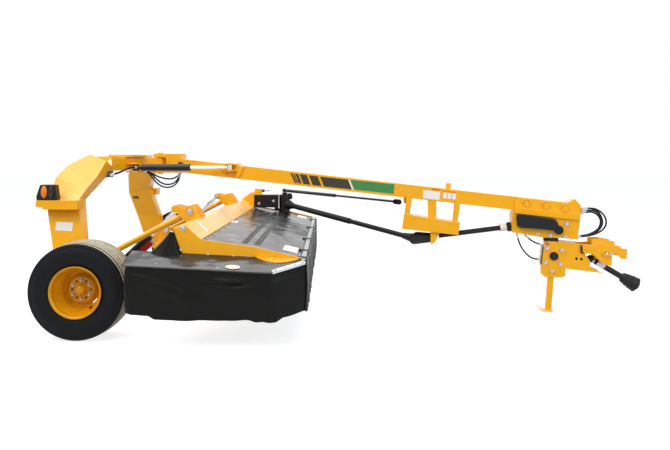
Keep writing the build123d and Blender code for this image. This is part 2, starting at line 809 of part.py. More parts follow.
# header
def header_bracket():
    base_z = beam_rear_top_z
    outline = [
        (lift_top_x - 30, lift_top_z - 22), (lift_top_x - 34, lift_top_z + 18),
        (lift_top_x - 10, lift_top_z + 36),
        (lift_top_x + 24, lift_top_z + 30), (link_front_x - 50, link_front_z + 26),
        (link_front_x - 20, link_front_z + 52), (link_front_x + 22, link_front_z + 50),
        (link_front_x + 52, link_front_z + 14), (-1150, base_z + 14), (beam_rear_x + 4, base_z - 110),
        (beam_rear_x - 50, base_z - 20), (lift_top_x + 20, lift_top_z - 34),
    ]
    cheeks = cheek_pairs()
    pieces = [side_slab(outline, -far, -near) for near, far in cheeks]
    pieces.append(rod(lift_pin_radius, (lift_top_x, -cheeks[1][1] - 8, lift_top_z),
                      (lift_top_x, -cheeks[0][0] + 8, lift_top_z)))
    pieces.append(rod(link_pin_radius, (link_front_x, -cheeks[3][1] - 10, link_front_z),
                      (link_front_x, -cheeks[2][0] + 10, link_front_z)))
    return whole(pieces)


def make_beam():
    half = header_half_width - end_plate_thickness
    return side_slab([
        (beam_rear_x, beam_bottom_z), (beam_rear_x, beam_rear_top_z), (beam_top_front_x, beam_top_z),
        (beam_front_x, beam_step_z), (beam_front_x, beam_bottom_z),
    ], -half, half)


header_beam = make_beam()
save("header_beam", [header_beam])
bracket = header_bracket() - header_beam
mount_outline = [
    (-1180, 916), (-1050, 1012), (-960, 1012), (-960, 984.5), (-1004.5, 984.5), (-1004.5, 812), (-1030, 829),
    (-1131, 922.5),
]
mounts = [side_slab(mount_outline, head_y + y, head_y + y + 14) - header_beam for y in (-68, 54)]
save("header_brackets", [bracket, flip(bracket)] + mounts)

plate_outline = [
    (-1234, 903), (-1131, 924), (-1009, 812), (-590, 755), (-213, 669), (-502, 634), (-550, 662),
    (-1160, 705),
]
end_plate = side_slab(plate_outline, -header_half_width, -header_half_width + end_plate_thickness)
hanger = side_slab([
    (-1200, 704.9), (-1013, 704.9), (-600, 640), (-560, 600), (-500, 400), (-500, cutterbar_top_z),
    (-760, cutterbar_top_z), (-900, 560), (-1200, 640),
], -header_half_width + end_plate_thickness + 12, -header_half_width + end_plate_thickness)
side_frame = end_plate + hanger
save("end_plates", [side_frame, flip(side_frame)])

cover_half = header_half_width - end_plate_thickness
cover = side_slab([
    (beam_front_x, 806), (-590, 742), (front_edge_x - 8, front_edge_z - 12),
    (front_edge_x - 8, front_edge_z - 12 - cover_thickness), (-590, 742 - cover_thickness),
    (beam_front_x, 806 - cover_thickness),
], -cover_half, cover_half)
cover = cover - rod(head_radius + 8, (head_x, head_y, 600), (head_x, head_y, 900))
rail = box(front_edge_x - 8, curtain_front_x - curtain_thickness - soft_gap, -cover_half + 20,
           cover_half - 20,
           front_edge_z - 44, front_edge_z - 8)
save("top_cover", [cover + rail])


def shield_plan(inset):
    return [
        (shield_rear_x + inset, -header_half_width - 0.5),
        (shield_rear_x + inset, -shield_half_width + inset),
        (shield_corner_x, -shield_half_width + inset),
        (shield_corner_x + 130, -shield_half_width + 28 + inset),
        (shield_corner_x + 220, -shield_half_width + 95 + inset),
        (shield_corner_x + 248, -header_half_width - 40),
        (shield_corner_x + 248, -header_half_width - 0.5),
    ]


shield_lean = (shield_inner_z - shield_outer_z) / (shield_half_width - header_half_width)


def shield_z(x, y):
    fall = math.tan(math.radians(shield_front_fall))
    return shield_outer_z - fall * (x - shield_middle_x) + shield_lean * (y + shield_half_width)


def make_shield():
    plan = shield_plan(0)
    low = [(x, y, shield_z(x, y)) for x, y in plan]
    high = [(x, y, shield_z(x, y) + shield_thickness) for x, y in plan]
    return ruled([low, high])


def make_shield_cone():
    # loose vinyl drawn up from the shield to the end plate's rear corner
    y = -header_half_width - soft_gap
    x = beam_rear_x
    foot = [(x - 166, y), (x - 156, y - 60), (x - 76, y - 80), (x + 69, y - 35), (x + 74, y)]
    tip = [(x - 12, y), (x - 12, y - 12), (x - 4, y - 16), (x + 8, y - 12), (x + 8, y)]
    low = [(fx, ty, shield_z(fx, ty) + shield_thickness - 1) for fx, ty in foot]
    high = [(tx, ty, beam_rear_top_z - 19) for tx, ty in tip]
    return ruled([low, high])


shield = make_shield() + make_shield_cone()
save("end_shields", [shield, flip(shield)])


def curtain_loft(points, lower_offsets, top_z, bottom_z, thickness, outward):
    # top_z gives the height of the top edge at a point
    # points run along the path; each has an outward direction used for the thickness and the flare
    top = []
    low = []
    for i, (x, y) in enumerate(points):
        ox, oy = outward[i]
        top.append((x, y, top_z(x, y)))
        low.append((x + ox * lower_offsets[i], y + oy * lower_offsets[i], bottom_z))
    back_top = []
    back_low = []
    for i in range(len(points) - 1, -1, -1):
        ox, oy = outward[i]
        x = top[i][0] - ox * thickness
        y = top[i][1] - oy * thickness
        back_top.append((x, y, top_z(x, y)))
        back_low.append((low[i][0] - ox * thickness, low[i][1] - oy * thickness, bottom_z))
    return ruled([top + back_top, low + back_low])


def under_shield(x, y):
    return shield_z(x, y) - soft_gap


def make_side_curtain():
    y = -shield_half_width + 4
    path = [(shield_rear_x + 10, -header_half_width - 20), (shield_rear_x + 10, -shield_half_width + 40)]
    for k in range(7):
        path.append((shield_rear_x + 40 + (shield_corner_x - shield_rear_x - 40) * k / 6, y))
    path.extend([
        (shield_corner_x + 128, y + 28), (shield_corner_x + 216, y + 95),
        (shield_corner_x + 242, -header_half_width - 30),
    ])
    outward = [
        (-1, 0), (-1, 0), (-0.7, -0.7), (0, -1), (0, -1), (0, -1), (0, -1), (0, -1),
        (0, -1), (0.35, -0.94), (0.75, -0.66), (1, 0),
    ]
    flare = [0, 2, -6, -14, 10, -8, 12, -4, 8, 10, 6, 8]
    return curtain_loft(path, flare, under_shield, curtain_bottom_z, curtain_thickness, outward)


side_curtain = make_side_curtain()
save("side_curtains", [side_curtain, flip(side_curtain)])


def under_rail(x, y):
    return front_edge_z - 8


def make_front_curtain():
    path = []
    outward = []
    flare = []
    count = 44
    half = header_half_width - 6
    for i in range(count + 1):
        path.append((curtain_front_x, -half + 2 * half * i / count))
        outward.append((1, 0))
        flare.append((6, 20, 9, 2)[i % 4])
    return curtain_loft(path, flare, under_rail, curtain_bottom_z, curtain_thickness, outward)


front_curtain = make_front_curtain()
save("front_curtain", [front_curtain])


# cutterbar and discs
disc_y = [-(disc_count - 1) / 2 * disc_pitch + disc_pitch * i for i in range(disc_count)]


def make_cutterbar():
    half = header_half_width - end_plate_thickness
    body = side_slab([
        (cutterbar_rear_x, cutterbar_bottom_z + 14), (cutterbar_rear_x, cutterbar_top_z),
        (cutterbar_front_x, cutterbar_top_z), (cutterbar_front_x + 22, cutterbar_top_z - 24),
        (cutterbar_front_x, cutterbar_bottom_z), (cutterbar_rear_x + 30, cutterbar_bottom_z),
    ], -half, half)
    for y in disc_y:
        body = body + rod(66, (disc_x, y, cutterbar_top_z), (disc_x, y, disc_z - 6))
        body = body + rod(disc_spindle_radius, (disc_x, y, disc_z - 6), (disc_x, y, disc_z + 22))
        shoe = flat_slab([
            (cutterbar_front_x - 30, y - 130), (cutterbar_front_x + 40, y - 118),
            (cutterbar_front_x + 92, y - 60),
            (cutterbar_front_x + 100, y), (cutterbar_front_x + 92, y + 60), (cutterbar_front_x + 40, y + 118),
            (cutterbar_front_x - 30, y + 130),
        ], cutterbar_bottom_z, cutterbar_bottom_z + 10)
        body = body + shoe
    return body


save("cutterbar", [make_cutterbar()])


def make_disc(y, turn):
    plate = Pos(0, 0, -1) * extrude(Ellipse(disc_radius_long, disc_radius_short), disc_thickness)
    dome = cone(84, 46, (0, 0, disc_thickness - 2), (0, 0, 30))
    body = plate + dome
    for sign in (-1, 1):
        blade = box(sign * 128, sign * blade_tip_radius, -blade_width / 2, blade_width / 2, -9,
                    -9 + blade_thickness)
        bolt = rod(15, (sign * 146, 0, -9), (sign * 146, 0, 16))
        body = body + blade + bolt
    body = body - rod(disc_spindle_radius + spindle_bore_clearance, (0, 0, -30), (0, 0, 24))
    return body.moved(Location((disc_x, y, disc_z), (0, 0, turn)))


for i, y in enumerate(disc_y):
    save("disc_%d" % (i + 1), [make_disc(y, 90.0 * (i % 2) + 25.0 * (1 if i % 2 == 0 else -1))])


# header drive
def make_gearbox_base():
    body = box(-1004, head_x - head_radius - 6, head_y - 76, head_y + 76, 815, 984)
    body = body + rod(head_radius, (head_x, head_y, 560), (head_x, head_y, 800))
    body = body + box(head_x - head_radius - 60, head_x - head_radius - 6, head_y - 43, head_y + 43, 776, 830)
    body = body + box(head_x - head_radius - 20, head_x, head_y - 43, head_y + 43, 776, 799)
    body = body + rod(column_radius, (head_x, head_y, disc_z + 60), (head_x, head_y, 560))
    return body


save("gearbox_base", [make_gearbox_base()])

def make_gearbox_head():
    body = rod(head_radius - 2, (head_x, head_y, 800 + guard_running_gap), (head_x, head_y, 984))
    a = head
    reach = rod(44, a, (a + drive_dir * 160)) & (Pos(a.X, a.Y, a.Z) * Sphere(guard_outer_start - soft_gap))
    body = body + reach
    # post with a ball that the guide tube turns on
    body = body + rod(34, (head_x, head_y, 984), (head_x, head_y, guide_z - 26))
    body = body + rod(10, (head_x, head_y, guide_z - 26), (head_x, head_y, guide_z + 28))
    return body + Pos(head_x, head_y, guide_z) * Sphere(guide_ball_radius)


save("gearbox_head", [make_gearbox_head()])


def make_guide():
    root = Vector(head_x, head_y, guide_z)
    end = (tongue_frame * Pos(guide_end_x, guide_end_y, guide_end_z)).position
    d = (end - root).normalized()
    length = (end - root).length
    tube = rod(guide_tube_radius, (root + d * 22), (root + d * guide_tube_length))
    tube = tube + rod(32, (head_x, head_y, guide_z - 18), (head_x, head_y, guide_z + 18))
    tube = tube - Pos(head_x, head_y, guide_z) * Sphere(guide_ball_radius + guard_running_gap)
    tube = tube - rod(guide_rod_radius + guard_running_gap, (root + d * 44),
                      (root + d * (guide_tube_length + 10)))
    slim = rod(guide_rod_radius, (root + d * guide_rod_start), (root + d * (length - guide_boot_gap)))
    boot = rod(20, (root + d * (length - guide_boot_gap - guide_boot_length)),
               (root + d * (length - guide_boot_gap)))
    return tube, slim + boot


guide_tube, guide_rod = make_guide()
save("guide_tube", [guide_tube])
save("guide_rod", [guide_rod])

guard_outer_bore = guard_inner_radius + guard_running_gap
outer_guard = pipe(guard_outer_radius, guard_outer_bore, (head + drive_dir * (guard_outer_start - 20)),
                   (head + drive_dir * guard_outer_end))
outer_cone = cone(64, guard_outer_radius - 1, (head + drive_dir * (guard_outer_start - 20)),
                  (head + drive_dir * (guard_outer_start + 120)))
outer_cone = outer_cone - rod(guard_outer_bore, head, (head + drive_dir * 400))
outer_guard = outer_guard + outer_cone - Pos(head.X, head.Y, head.Z) * Sphere(guard_outer_start)
save("rear_guard_outer", [outer_guard])
inner_guard = rod(guard_inner_radius, (head + drive_dir * guard_inner_start),
                  (joint - drive_dir * guard_inner_end_gap))
save("rear_guard_inner", [inner_guard])


def make_bell():
    rear = joint - drive_dir * bell_rear_gap
    front = joint - drive_dir * bell_front_gap
    bell = cone(bell_rear_radius, bell_front_radius, rear, front)
    hollow = cone(guard_outer_bore, bell_front_radius - bell_wall, (rear + drive_dir * 30),
                  (front + drive_dir * 0.5))
    return bell - hollow - rod(guard_outer_bore, (rear - drive_dir * 5), (rear + drive_dir * 60))


save("rear_guard_bell", [make_bell()])


def make_lower_housing():
    plate_outline = [
        (3937, 438), (3959, 615), (4096, 668), (4275, 652), (4352, 640), (4372, 610), (4366, 574),
        (4330, 556),
        (4375, 490), (4375, 429), (4500, 377), (4190, 408),
    ]
    core_outline = [(3937, 438), (3959, 615), (4096, 668), (4255, 654), (4255, 404), (4190, 408)]
    body = side_slab(core_outline, -74, 74)
    for y0 in (-86, 74):
        body = body + side_slab(plate_outline, y0, y0 + 12)
    body = body + rod(40, (4049, -98, 529), (4049, 98, 529))
    for x, z in ((3988, 600), (4123, 589), (3973, 466), (4110, 455)):
        body = body + rod(11, (x, -94, z), (x, 94, z))
    for x, z in ((4254, 510), (4298, 506)):
        body = body - rod(9, (x, -94, z), (x, 94, z))
    body = body + rod(swivel_radius, (swivel_local_x, 0, 640), (swivel_local_x, 0, swivel_top_z - soft_gap))
    # bracket that holds the stand's pivot bolt
    for y0 in (stand_y - stand_half_width - stand_side_gap - 8, stand_y + stand_half_width + stand_side_gap):
        body = body + side_slab([(3937, 440), (4154, 433), (4154, 340), (4120, 326), (3966, 326),
                                 (3937, 352)],
                                y0, y0 + 8)
    body = body + side_slab([(3937, 440), (4154, 433), (4154, 420), (3937, 428)], -92, -20)
    body = body + rod(stand_pin_radius, (stand_pin_x, stand_y - 48, stand_pin_z),
                      (stand_pin_x, stand_y + 48, stand_pin_z))
    # input stub and the cross pin that the coupler tilts on
    body = body + rod(30, (4200, 0, 500), (pto_x - pto_ball_radius - soft_gap, 0, pto_z))
    return body + rod(coupler_pivot_radius, (coupler_pivot_x, -118, coupler_pivot_z),
                      (coupler_pivot_x, 118, coupler_pivot_z))


save("lower_housing", [on_tongue(make_lower_housing())])


def make_stand():
    y0 = stand_y - stand_half_width
    y1 = stand_y + stand_half_width
    leg_plate = side_slab([
        (stand_pin_x - 26, stand_pin_z + 8), (stand_pin_x - 10, stand_pin_z + 26),
        (stand_pin_x + 10, stand_pin_z + 26), (stand_pin_x + 26, stand_pin_z + 8), (4050, 300), (4028, 6),
        (3974, 6),
        (3994, 300),
    ], y0, y1)
    foot = side_slab([(3900, 52), (3906, 56), (3945, 8), (4040, 8), (4040, 0), (3940, 0)], y0 - 30, y1 + 30)
    body = leg_plate + foot
    return body - rod(stand_pin_radius + pin_clearance, (stand_pin_x, y0 - 5, stand_pin_z),
                      (stand_pin_x, y1 + 5, stand_pin_z))


save("parking_stand", [on_tongue(make_stand())])


def make_coupler():
    cheek = [
        (4306, 628), (4320, 646), (4474, 655), (4698, 611), (4691, 521), (4635, 523), (4614, 564),
        (4586, 570),
        (4565, 540), (4558, 449), (4481, 477), (4392, 560), (4318, 566), (4304, 584),
    ]
    pieces = [side_slab(cheek, y0, y0 + 16) for y0 in (-108, 92)]
    pieces.append(side_slab([(4420, 638), (4474, 650), (4600, 630), (4600, 612), (4474, 632),
                             (4420, 620)], -100, 100))
    for y0 in (-92, 80):
        pieces.append(side_slab([(4392, 640), (4392, 694), (4470, 700), (4590, 680), (4594, 625)], y0,
                                y0 + 12))
    for y0, y1 in ((-124, -92), (92, 124)):
        pieces.append(rod(32, (coupler_bore_x, y0, coupler_bore_z), (coupler_bore_x, y1, coupler_bore_z)))
    body = whole(pieces)
    body = body - rod(coupler_bore_radius, (coupler_bore_x, -140, coupler_bore_z),
                      (coupler_bore_x, 140, coupler_bore_z))
    body = body - rod(coupler_pivot_radius + pin_clearance, (coupler_pivot_x, -140, coupler_pivot_z),
                      (coupler_pivot_x, 140, coupler_pivot_z))
    return body


save("hitch_coupler", [on_tongue(make_coupler())])

pto_shaft = whole([
    Pos(pto_x, 0, pto_z) * Sphere(pto_ball_radius),
    rod(12, (pto_x, -46, pto_z), (pto_x, 46, pto_z)),
    rod(24, (pto_x, 0, pto_z), (4660, 0, 350)),
    cone(30, 72, (4600, 0, 385), (4740, 0, 304)),
    rod(40, (4740, 0, 304), (4800, 0, 262)),
    rod(30, (4790, 0, 269), (4829, 0, 246)),
])
save("pto_shaft", [on_tongue(pto_shaft)])

# hoses at the tongue pivot
pivot_routes = [
    [(-1980, -118, 1340), (-1932, -118, 1318), (-1890, -114, 1266), (-1836, -106, 1192), (-1752, -96, 1148),
     (-1668, -82, 1162), (-1612, -68, 1226), (-1598, -60, 1304)],
    [(-1980, -88, 1340), (-1928, -88, 1322), (-1882, -84, 1276), (-1826, -78, 1216), (-1756, -70, 1180),
     (-1676, -60, 1190), (-1624, -50, 1240), (-1611, -41, 1303)],
    [(-1980, -58, 1330), (-1926, -58, 1312), (-1862, -56, 1278), (-1792, -50, 1250), (-1716, -40, 1240),
     (-1652, -30, 1256), (-1606, -20, 1301)],
]
for i, route in enumerate(pivot_routes):
    name = "pivot_hose_%d" % (i + 1)
    save(name, [hose(name, route, hose_radius) - crossbeam])
cylinder_route = [
    (-2120, -712, 1296), (-2068, -668, 1312), (-2030, -600, 1338), (-2010, -520, 1360), (-1999, -440, 1371),
    (-1976, -352, 1371),
]
save("cylinder_hose", [hose("cylinder_hose", cylinder_route, thick_hose_radius) - valve_box])

# hoses at the hitch end, on the tongue and on the turning lower housing
# columns: forward reach, upward shift, sideways shift at the loop's front, sideways place of the lower end
hitch_table = [
    (0.0, 0.0, -8.0, -30.0),
    (-20.0, -4.0, 8.0, -8.0),
    (-28.0, -6.0, 4.0, 14.0),
    (-10.0, 8.0, -6.0, 38.0),
]
head_shape = make_head()
for i, (reach, rise, sway, low_y) in enumerate(hitch_table):
    port_y, port_z = hitch_ports[i]
    name = "hitch_hose_%d" % (i + 1)
    front_y = port_y + sway
    high_z = 0.35 * (984 + rise) + 0.65 * port_z
    route = [
        (port_x, port_y, port_z), (port_x + 58 + reach * 0.3, port_y, port_z + (high_z - port_z) * 0.3 + 4),
        (4438 + reach * 0.55, port_y + sway * 0.4, high_z - 2),
        (4498 + reach * 0.85, front_y, high_z * 0.5 + 446 + rise),
        (4530 + reach, front_y, 864 + rise), (4508 + reach, front_y * 0.8 + low_y * 0.2, 790 + rise * 0.8),
        (4438 + reach * 0.6, front_y * 0.4 + low_y * 0.6, 741 + rise * 0.2), (4350, low_y, 714),
        (4262, low_y, 708),
    ]
    save(name, [on_tongue(hose(name, route, hose_radius) - head_shape)])
arc_route = [
    (3952, -62, 487), (3872, -62, 489), (3814, -62, 524), (3764, -62, 584), (3730, -62, 656),
    (3712, -62, 733),
]
neck_route = [(3966, -30, 621), (3912, -30, 634), (3846, -30, 666), (3790, -30, 717)]
lower_housing = make_lower_housing()
for i, route in enumerate((arc_route, neck_route)):
    name = "housing_hose_%d" % (i + 1)
    save(name, [on_tongue(hose(name, route, hose_radius) - lower_housing)])
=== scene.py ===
import bpy
import bmesh
import math
import json
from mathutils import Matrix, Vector, noise
from mathutils.bvhtree import BVHTree


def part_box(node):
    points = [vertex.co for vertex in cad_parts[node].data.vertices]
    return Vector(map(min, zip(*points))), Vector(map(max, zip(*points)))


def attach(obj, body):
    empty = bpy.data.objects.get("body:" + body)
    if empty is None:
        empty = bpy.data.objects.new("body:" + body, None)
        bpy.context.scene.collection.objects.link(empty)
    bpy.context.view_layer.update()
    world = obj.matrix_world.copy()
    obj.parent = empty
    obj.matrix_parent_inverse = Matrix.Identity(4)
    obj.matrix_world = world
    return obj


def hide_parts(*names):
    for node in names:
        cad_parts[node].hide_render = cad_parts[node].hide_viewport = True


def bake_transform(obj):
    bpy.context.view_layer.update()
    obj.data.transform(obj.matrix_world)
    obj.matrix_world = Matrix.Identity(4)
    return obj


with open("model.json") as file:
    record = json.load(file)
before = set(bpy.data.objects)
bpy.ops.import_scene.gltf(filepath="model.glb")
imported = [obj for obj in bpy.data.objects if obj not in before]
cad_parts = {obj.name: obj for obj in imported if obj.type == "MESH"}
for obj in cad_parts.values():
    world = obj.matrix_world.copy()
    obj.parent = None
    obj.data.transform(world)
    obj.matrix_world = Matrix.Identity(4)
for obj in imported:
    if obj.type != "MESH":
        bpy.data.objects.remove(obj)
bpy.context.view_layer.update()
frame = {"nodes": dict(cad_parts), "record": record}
nodes = frame["nodes"]
print("loaded", len(nodes), "nodes")

scene = bpy.context.scene
scene.view_settings.view_transform = "Standard"

# sizes shared with the frame, millimetres from the datum between header and hitch
layout = {
    "shiftX": -191.0, "pivotX": -1830.0, "tongueYaw": -9.94, "tongueSlope": -0.1074,
    "axleX": -2003.0, "axleZ": 393.5, "wheelY": 1600.0, "headX": -600.0, "headY": 1573.0, "headZ": 862.0,
}


def machinePoint(x, y, z):
    return Vector((x + layout["shiftX"], y, z)) / 1000


def tonguePoint(x, y, z):
    turn = math.radians(layout["tongueYaw"])
    alongX = x * math.cos(turn) - y * math.sin(turn)
    alongY = x * math.sin(turn) + y * math.cos(turn)
    return machinePoint(layout["pivotX"] + alongX, alongY, z)


tongueSide = (tonguePoint(0, 1, 0) - tonguePoint(0, 0, 0)).normalized()
ahead, left, up = Vector((1, 0, 0)), Vector((0, 1, 0)), Vector((0, 0, 1))


# materials
def linearColour(text):
    values = []
    for i in (0, 2, 4):
        c = int(text[i:i + 2], 16) / 255
        values.append(c / 12.92 if c <= 0.04045 else ((c + 0.055) / 1.055) ** 2.4)
    return (values[0], values[1], values[2], 1.0)


def addNode(tree, kind, links=None, **settings):
    node = tree.nodes.new(kind)
    for key, value in settings.items():
        setattr(node, key, value)
    for socket, source in (links or {}).items():
        if isinstance(source, bpy.types.NodeSocket):
            tree.links.new(source, node.inputs[socket])
        else:
            node.inputs[socket].default_value = source
    return node


def mapValue(tree, value, fromLow, fromHigh, low, high):
    links = {"Value": value, "From Min": fromLow, "From Max": fromHigh, "To Min": low, "To Max": high}
    return addNode(tree, "ShaderNodeMapRange", links).outputs["Result"]


def mixTones(tree, share, first, second):
    return addNode(tree, "ShaderNodeMix", {0: share, 6: first, 7: second}, data_type="RGBA").outputs[2]


materialPlan = {"toneBlend": 0.5, "bumpDepth": 0.002, "coatRough": 0.08, "coatIndex": 1.35, "paintedSkyShare": 0.75}


def surfaceMaterial(name, base, alt, rough, metal=0.0, coat=0.0, grain=40.0, bump=0.0, bumpScale=200.0,
                    roughSpread=0.06, shine=0.5, paintedSkyTone=None):
    # two tones in soft clouds, a roughness that varies with them, a fine bump, and if asked a painted
    # highlight on upward faces
    material = bpy.data.materials.new(name)
    material.use_nodes = True
    tree = material.node_tree
    shader = tree.nodes["Principled BSDF"]
    place = addNode(tree, "ShaderNodeTexCoord")
    cloud = addNode(tree, "ShaderNodeTexNoise", {"Vector": place.outputs["Object"], "Scale": grain,
        "Detail": 4.0})
    blend = mapValue(tree, cloud.outputs["Fac"], 0.35, 0.65, 0.0, materialPlan["toneBlend"])
    tone = mixTones(tree, blend, linearColour(base), linearColour(alt))
    if paintedSkyTone:
        # painted highlight: upward faces are painted paler, as if lit by the sky
        facing = addNode(tree, "ShaderNodeSeparateXYZ", {"Vector": place.outputs["Normal"]})
        share = mapValue(tree, facing.outputs["Z"], 0.25, 0.9, 0.0, materialPlan["paintedSkyShare"])
        tone = mixTones(tree, share, tone, linearColour(paintedSkyTone))
    tree.links.new(tone, shader.inputs["Base Color"])
    polish = mapValue(tree, cloud.outputs["Fac"], 0.3, 0.7, rough - roughSpread, rough + roughSpread)
    tree.links.new(polish, shader.inputs["Roughness"])
    for socket, value in (("Metallic", metal), ("Specular IOR Level", shine), ("Coat Weight", coat),
                          ("Coat Roughness", materialPlan["coatRough"]),
                          ("Coat IOR", materialPlan["coatIndex"])):
        shader.inputs[socket].default_value = value
    if bump > 0:
        fine = addNode(tree, "ShaderNodeTexNoise", {"Vector": place.outputs["Object"], "Scale": bumpScale,
                                                    "Detail": 3.0})
        height = addNode(tree, "ShaderNodeBump", {"Height": fine.outputs["Fac"], "Strength": bump,
                                                  "Distance": materialPlan["bumpDepth"]})
        tree.links.new(height.outputs["Normal"], shader.inputs["Normal"])
    return material


# sprayed gloss enamel on frame and sheet steel: warm yellow, a slight orange peel, and a painted highlight
# that makes it paler where it faces up
enamel = surfaceMaterial("enamel", "FBB206", "F3A804", 0.32, coat=0.25, grain=6.0, bump=0.06, bumpScale=90.0,
                         shine=0.25, paintedSkyTone="FFD094")
# enamel of the wheel rims, a little deeper and duller
rimEnamel = surfaceMaterial("rim_enamel", "E09A04", "C88404", 0.36, coat=0.15, grain=12.0, shine=0.2)
# black enamel on gearboxes and cylinders: glossy, near black
blackEnamel = surfaceMaterial("black_enamel", "0F0F10", "161617", 0.3, coat=0.25, grain=10.0, shine=0.25)
# PVC-coated polyester of the curtains: soft gloss, a grain of about 4 mm for its weave
vinyl = surfaceMaterial("pvc_coated_polyester", "080907", "0E0F0C", 0.42, grain=8.0, bump=0.2,
    bumpScale=250.0,
                        shine=0.14)
# calendered rubber sheet of the cover and shields: shiny, grey where it catches the sky
coverRubber = surfaceMaterial("calendered_rubber", "191A1B", "272829", 0.27, coat=0.4, grain=4.0, bump=0.15,
                              bumpScale=40.0, roughSpread=0.08, shine=0.4)
# injection-moulded polyethylene of guards and lamp housings: dull black with a fine grain
plastic = surfaceMaterial("moulded_polyethylene", "111213", "191A1B", 0.38, grain=14.0, bump=0.12,
    bumpScale=350.0,
                          shine=0.25)
# grey polyethylene of the valve box: dull and mid grey
greyPlastic = surfaceMaterial("grey_moulded_polyethylene", "56585C", "4A4C50", 0.5, grain=14.0)
# tyre sidewall rubber: blue-black, matt, with a mould's faint mottle
rubber = surfaceMaterial("sidewall_rubber", "0C0D11", "14161B", 0.6, grain=18.0, bump=0.2, bumpScale=120.0,
                         shine=0.15)
# scuffed tread rubber, pale cream-grey: partly greyer and drier than the sidewall, partly a painted sheen of
# the sky on the ribs
treadRubber = surfaceMaterial("scuffed_tread_rubber_with_painted_sheen", "AFA591", "857C69", 0.6, grain=30.0, bump=0.3,
    bumpScale=150.0)
# synthetic rubber hose cover: wrapped finish, faint cloth marks
hoseRubber = surfaceMaterial("wrapped_hose_rubber", "0C0C0D", "151516", 0.45, grain=60.0, bump=0.2,
    bumpScale=500.0,
                             shine=0.2)
# zinc-plated steel of bolts, pins and fittings: bright, slightly clouded
zinc = surfaceMaterial("zinc_plated_steel", "B9BCBF", "96999D", 0.34, metal=1.0, grain=90.0)
# rolled aluminium of the strips and the front rail: light, brushed along its length
aluminium = surfaceMaterial("rolled_aluminium", "C9CCCE", "B5B8BB", 0.34, metal=0.9, grain=20.0)
# forged and hardened steel of discs and blades: dark grey, a dull shine
darkSteel = surfaceMaterial("forged_steel", "5B5D60", "47494B", 0.42, metal=0.9, grain=25.0)
# hard chrome on piston rods: mirror bright
chrome = surfaceMaterial("hard_chrome", "DFE1E3", "D2D4D6", 0.12, metal=1.0, grain=10.0, roughSpread=0.03)
# acrylic lamp lenses: smooth and glossy, the amber bright, the red almost black when unlit
amberLens = surfaceMaterial("acrylic_amber", "F08412", "D8640A", 0.2, coat=0.3, grain=30.0, shine=0.3)
redLens = surfaceMaterial("acrylic_red", "2E0F0C", "1E0C0A", 0.2, coat=0.4, grain=30.0, shine=0.3)
# red enamel of the cylinder stops and the shaft's label edge: saturated, glossy
redEnamel = surfaceMaterial("red_enamel", "B8201B", "9E1815", 0.33, coat=0.3, grain=10.0)
# cut vinyl on the tongue: flat even colour with a film's smooth gloss
stripeVinyl = surfaceMaterial("cut_vinyl_olive", "28290F", "22230B", 0.3, coat=0.1, grain=8.0)
greenVinyl = surfaceMaterial("cut_vinyl_green", "2E8540", "2A7A3A", 0.3, coat=0.3, grain=8.0)
# printed films, left blank: smooth and glossy, in the ground colour of each
whiteFilm = surfaceMaterial("blank_film_white", "F3EEE6", "E9E4DB", 0.3, coat=0.4, grain=20.0)
orangeFilm = surfaceMaterial("blank_film_orange", "E8702A", "DD6521", 0.3, coat=0.4, grain=20.0)
pinkFilm = surfaceMaterial("blank_film_pink", "E9BFB4", "DFAFA3", 0.3, coat=0.4, grain=20.0)
blackFilm = surfaceMaterial("blank_film_black", "1A1A1A", "242424", 0.35, coat=0.3, grain=20.0)
# reflector film: amber with a fine sparkle
amberFilm = surfaceMaterial("reflex_film_amber", "F5B010", "EFA808", 0.3, coat=0.2, grain=200.0)
# moulded plug: bright yellow-green, slightly dull
greenPlug = surfaceMaterial("moulded_green_plug", "9CCB2E", "8CBB22", 0.4, grain=30.0)

slotMaterials = {
    "frame_enamel": enamel, "rim_enamel": rimEnamel, "black_enamel": blackEnamel, "black_vinyl": vinyl,
    "black_plastic": plastic, "grey_plastic": greyPlastic, "amber_lens": amberLens, "disc_steel": darkSteel,
    "chrome_rod": chrome, "tyre": rubber, "stripe_paint": stripeVinyl, "green_paint": greenVinyl,
    "red_paint": redEnamel, "hose_rubber": hoseRubber,
}
for subpart in frame["record"]["subparts"]:
    name = subpart["node"]
    if name in nodes:
        for materialSlot in nodes[name].material_slots:
            materialSlot.material = slotMaterials[subpart["material_slot"]]
print("materials set")

# camera: a focal length in pixels of the picture, solved from the photograph, at eye height
cameraPlan = {
    "focal": 590, "pictureWidth": 670, "sensor": 36, "shift": (0.00896, -0.09403),
    "place": (-0.191, -6.410, 1.425),
}
cameraData = bpy.data.cameras.new("camera")
cameraData.lens = cameraPlan["focal"] / cameraPlan["pictureWidth"] * cameraPlan["sensor"]
cameraData.sensor_width = cameraPlan["sensor"]
cameraData.shift_x, cameraData.shift_y = cameraPlan["shift"]
camera = bpy.data.objects.new("camera", cameraData)
camera.location = cameraPlan["place"]
camera.rotation_euler = (math.radians(90), 0, 0)
scene.collection.objects.link(camera)
scene.camera = camera
print("camera set")


# mesh helpers
def finishPiece(name, bm, finishes, body, replaced=(), sharp=35, closed=True):
    if closed:
        bmesh.ops.recalc_face_normals(bm, faces=bm.faces)
    mesh = bpy.data.meshes.new(name)
    bm.to_mesh(mesh)
    bm.free()
    for finish in finishes:
        mesh.materials.append(finish)
    mesh.polygons.foreach_set("use_smooth", [True] * len(mesh.polygons))
    mesh.set_sharp_from_angle(angle=math.radians(sharp))
    piece = bpy.data.objects.new(name, mesh)
    scene.collection.objects.link(piece)
    if body:
        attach(piece, body)
    if replaced:
        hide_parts(*replaced)
    return piece


def paintFaces(faces, finish):
    for face in faces:
        face.material_index = finish
    return faces


def bridgeRings(bm, near, far):
    # a band of faces between two rings of as many vertices
    count = len(near)
    return [bm.faces.new((near[k], near[(k + 1) % count], far[(k + 1) % count],
        far[k])) for k in range(count)]


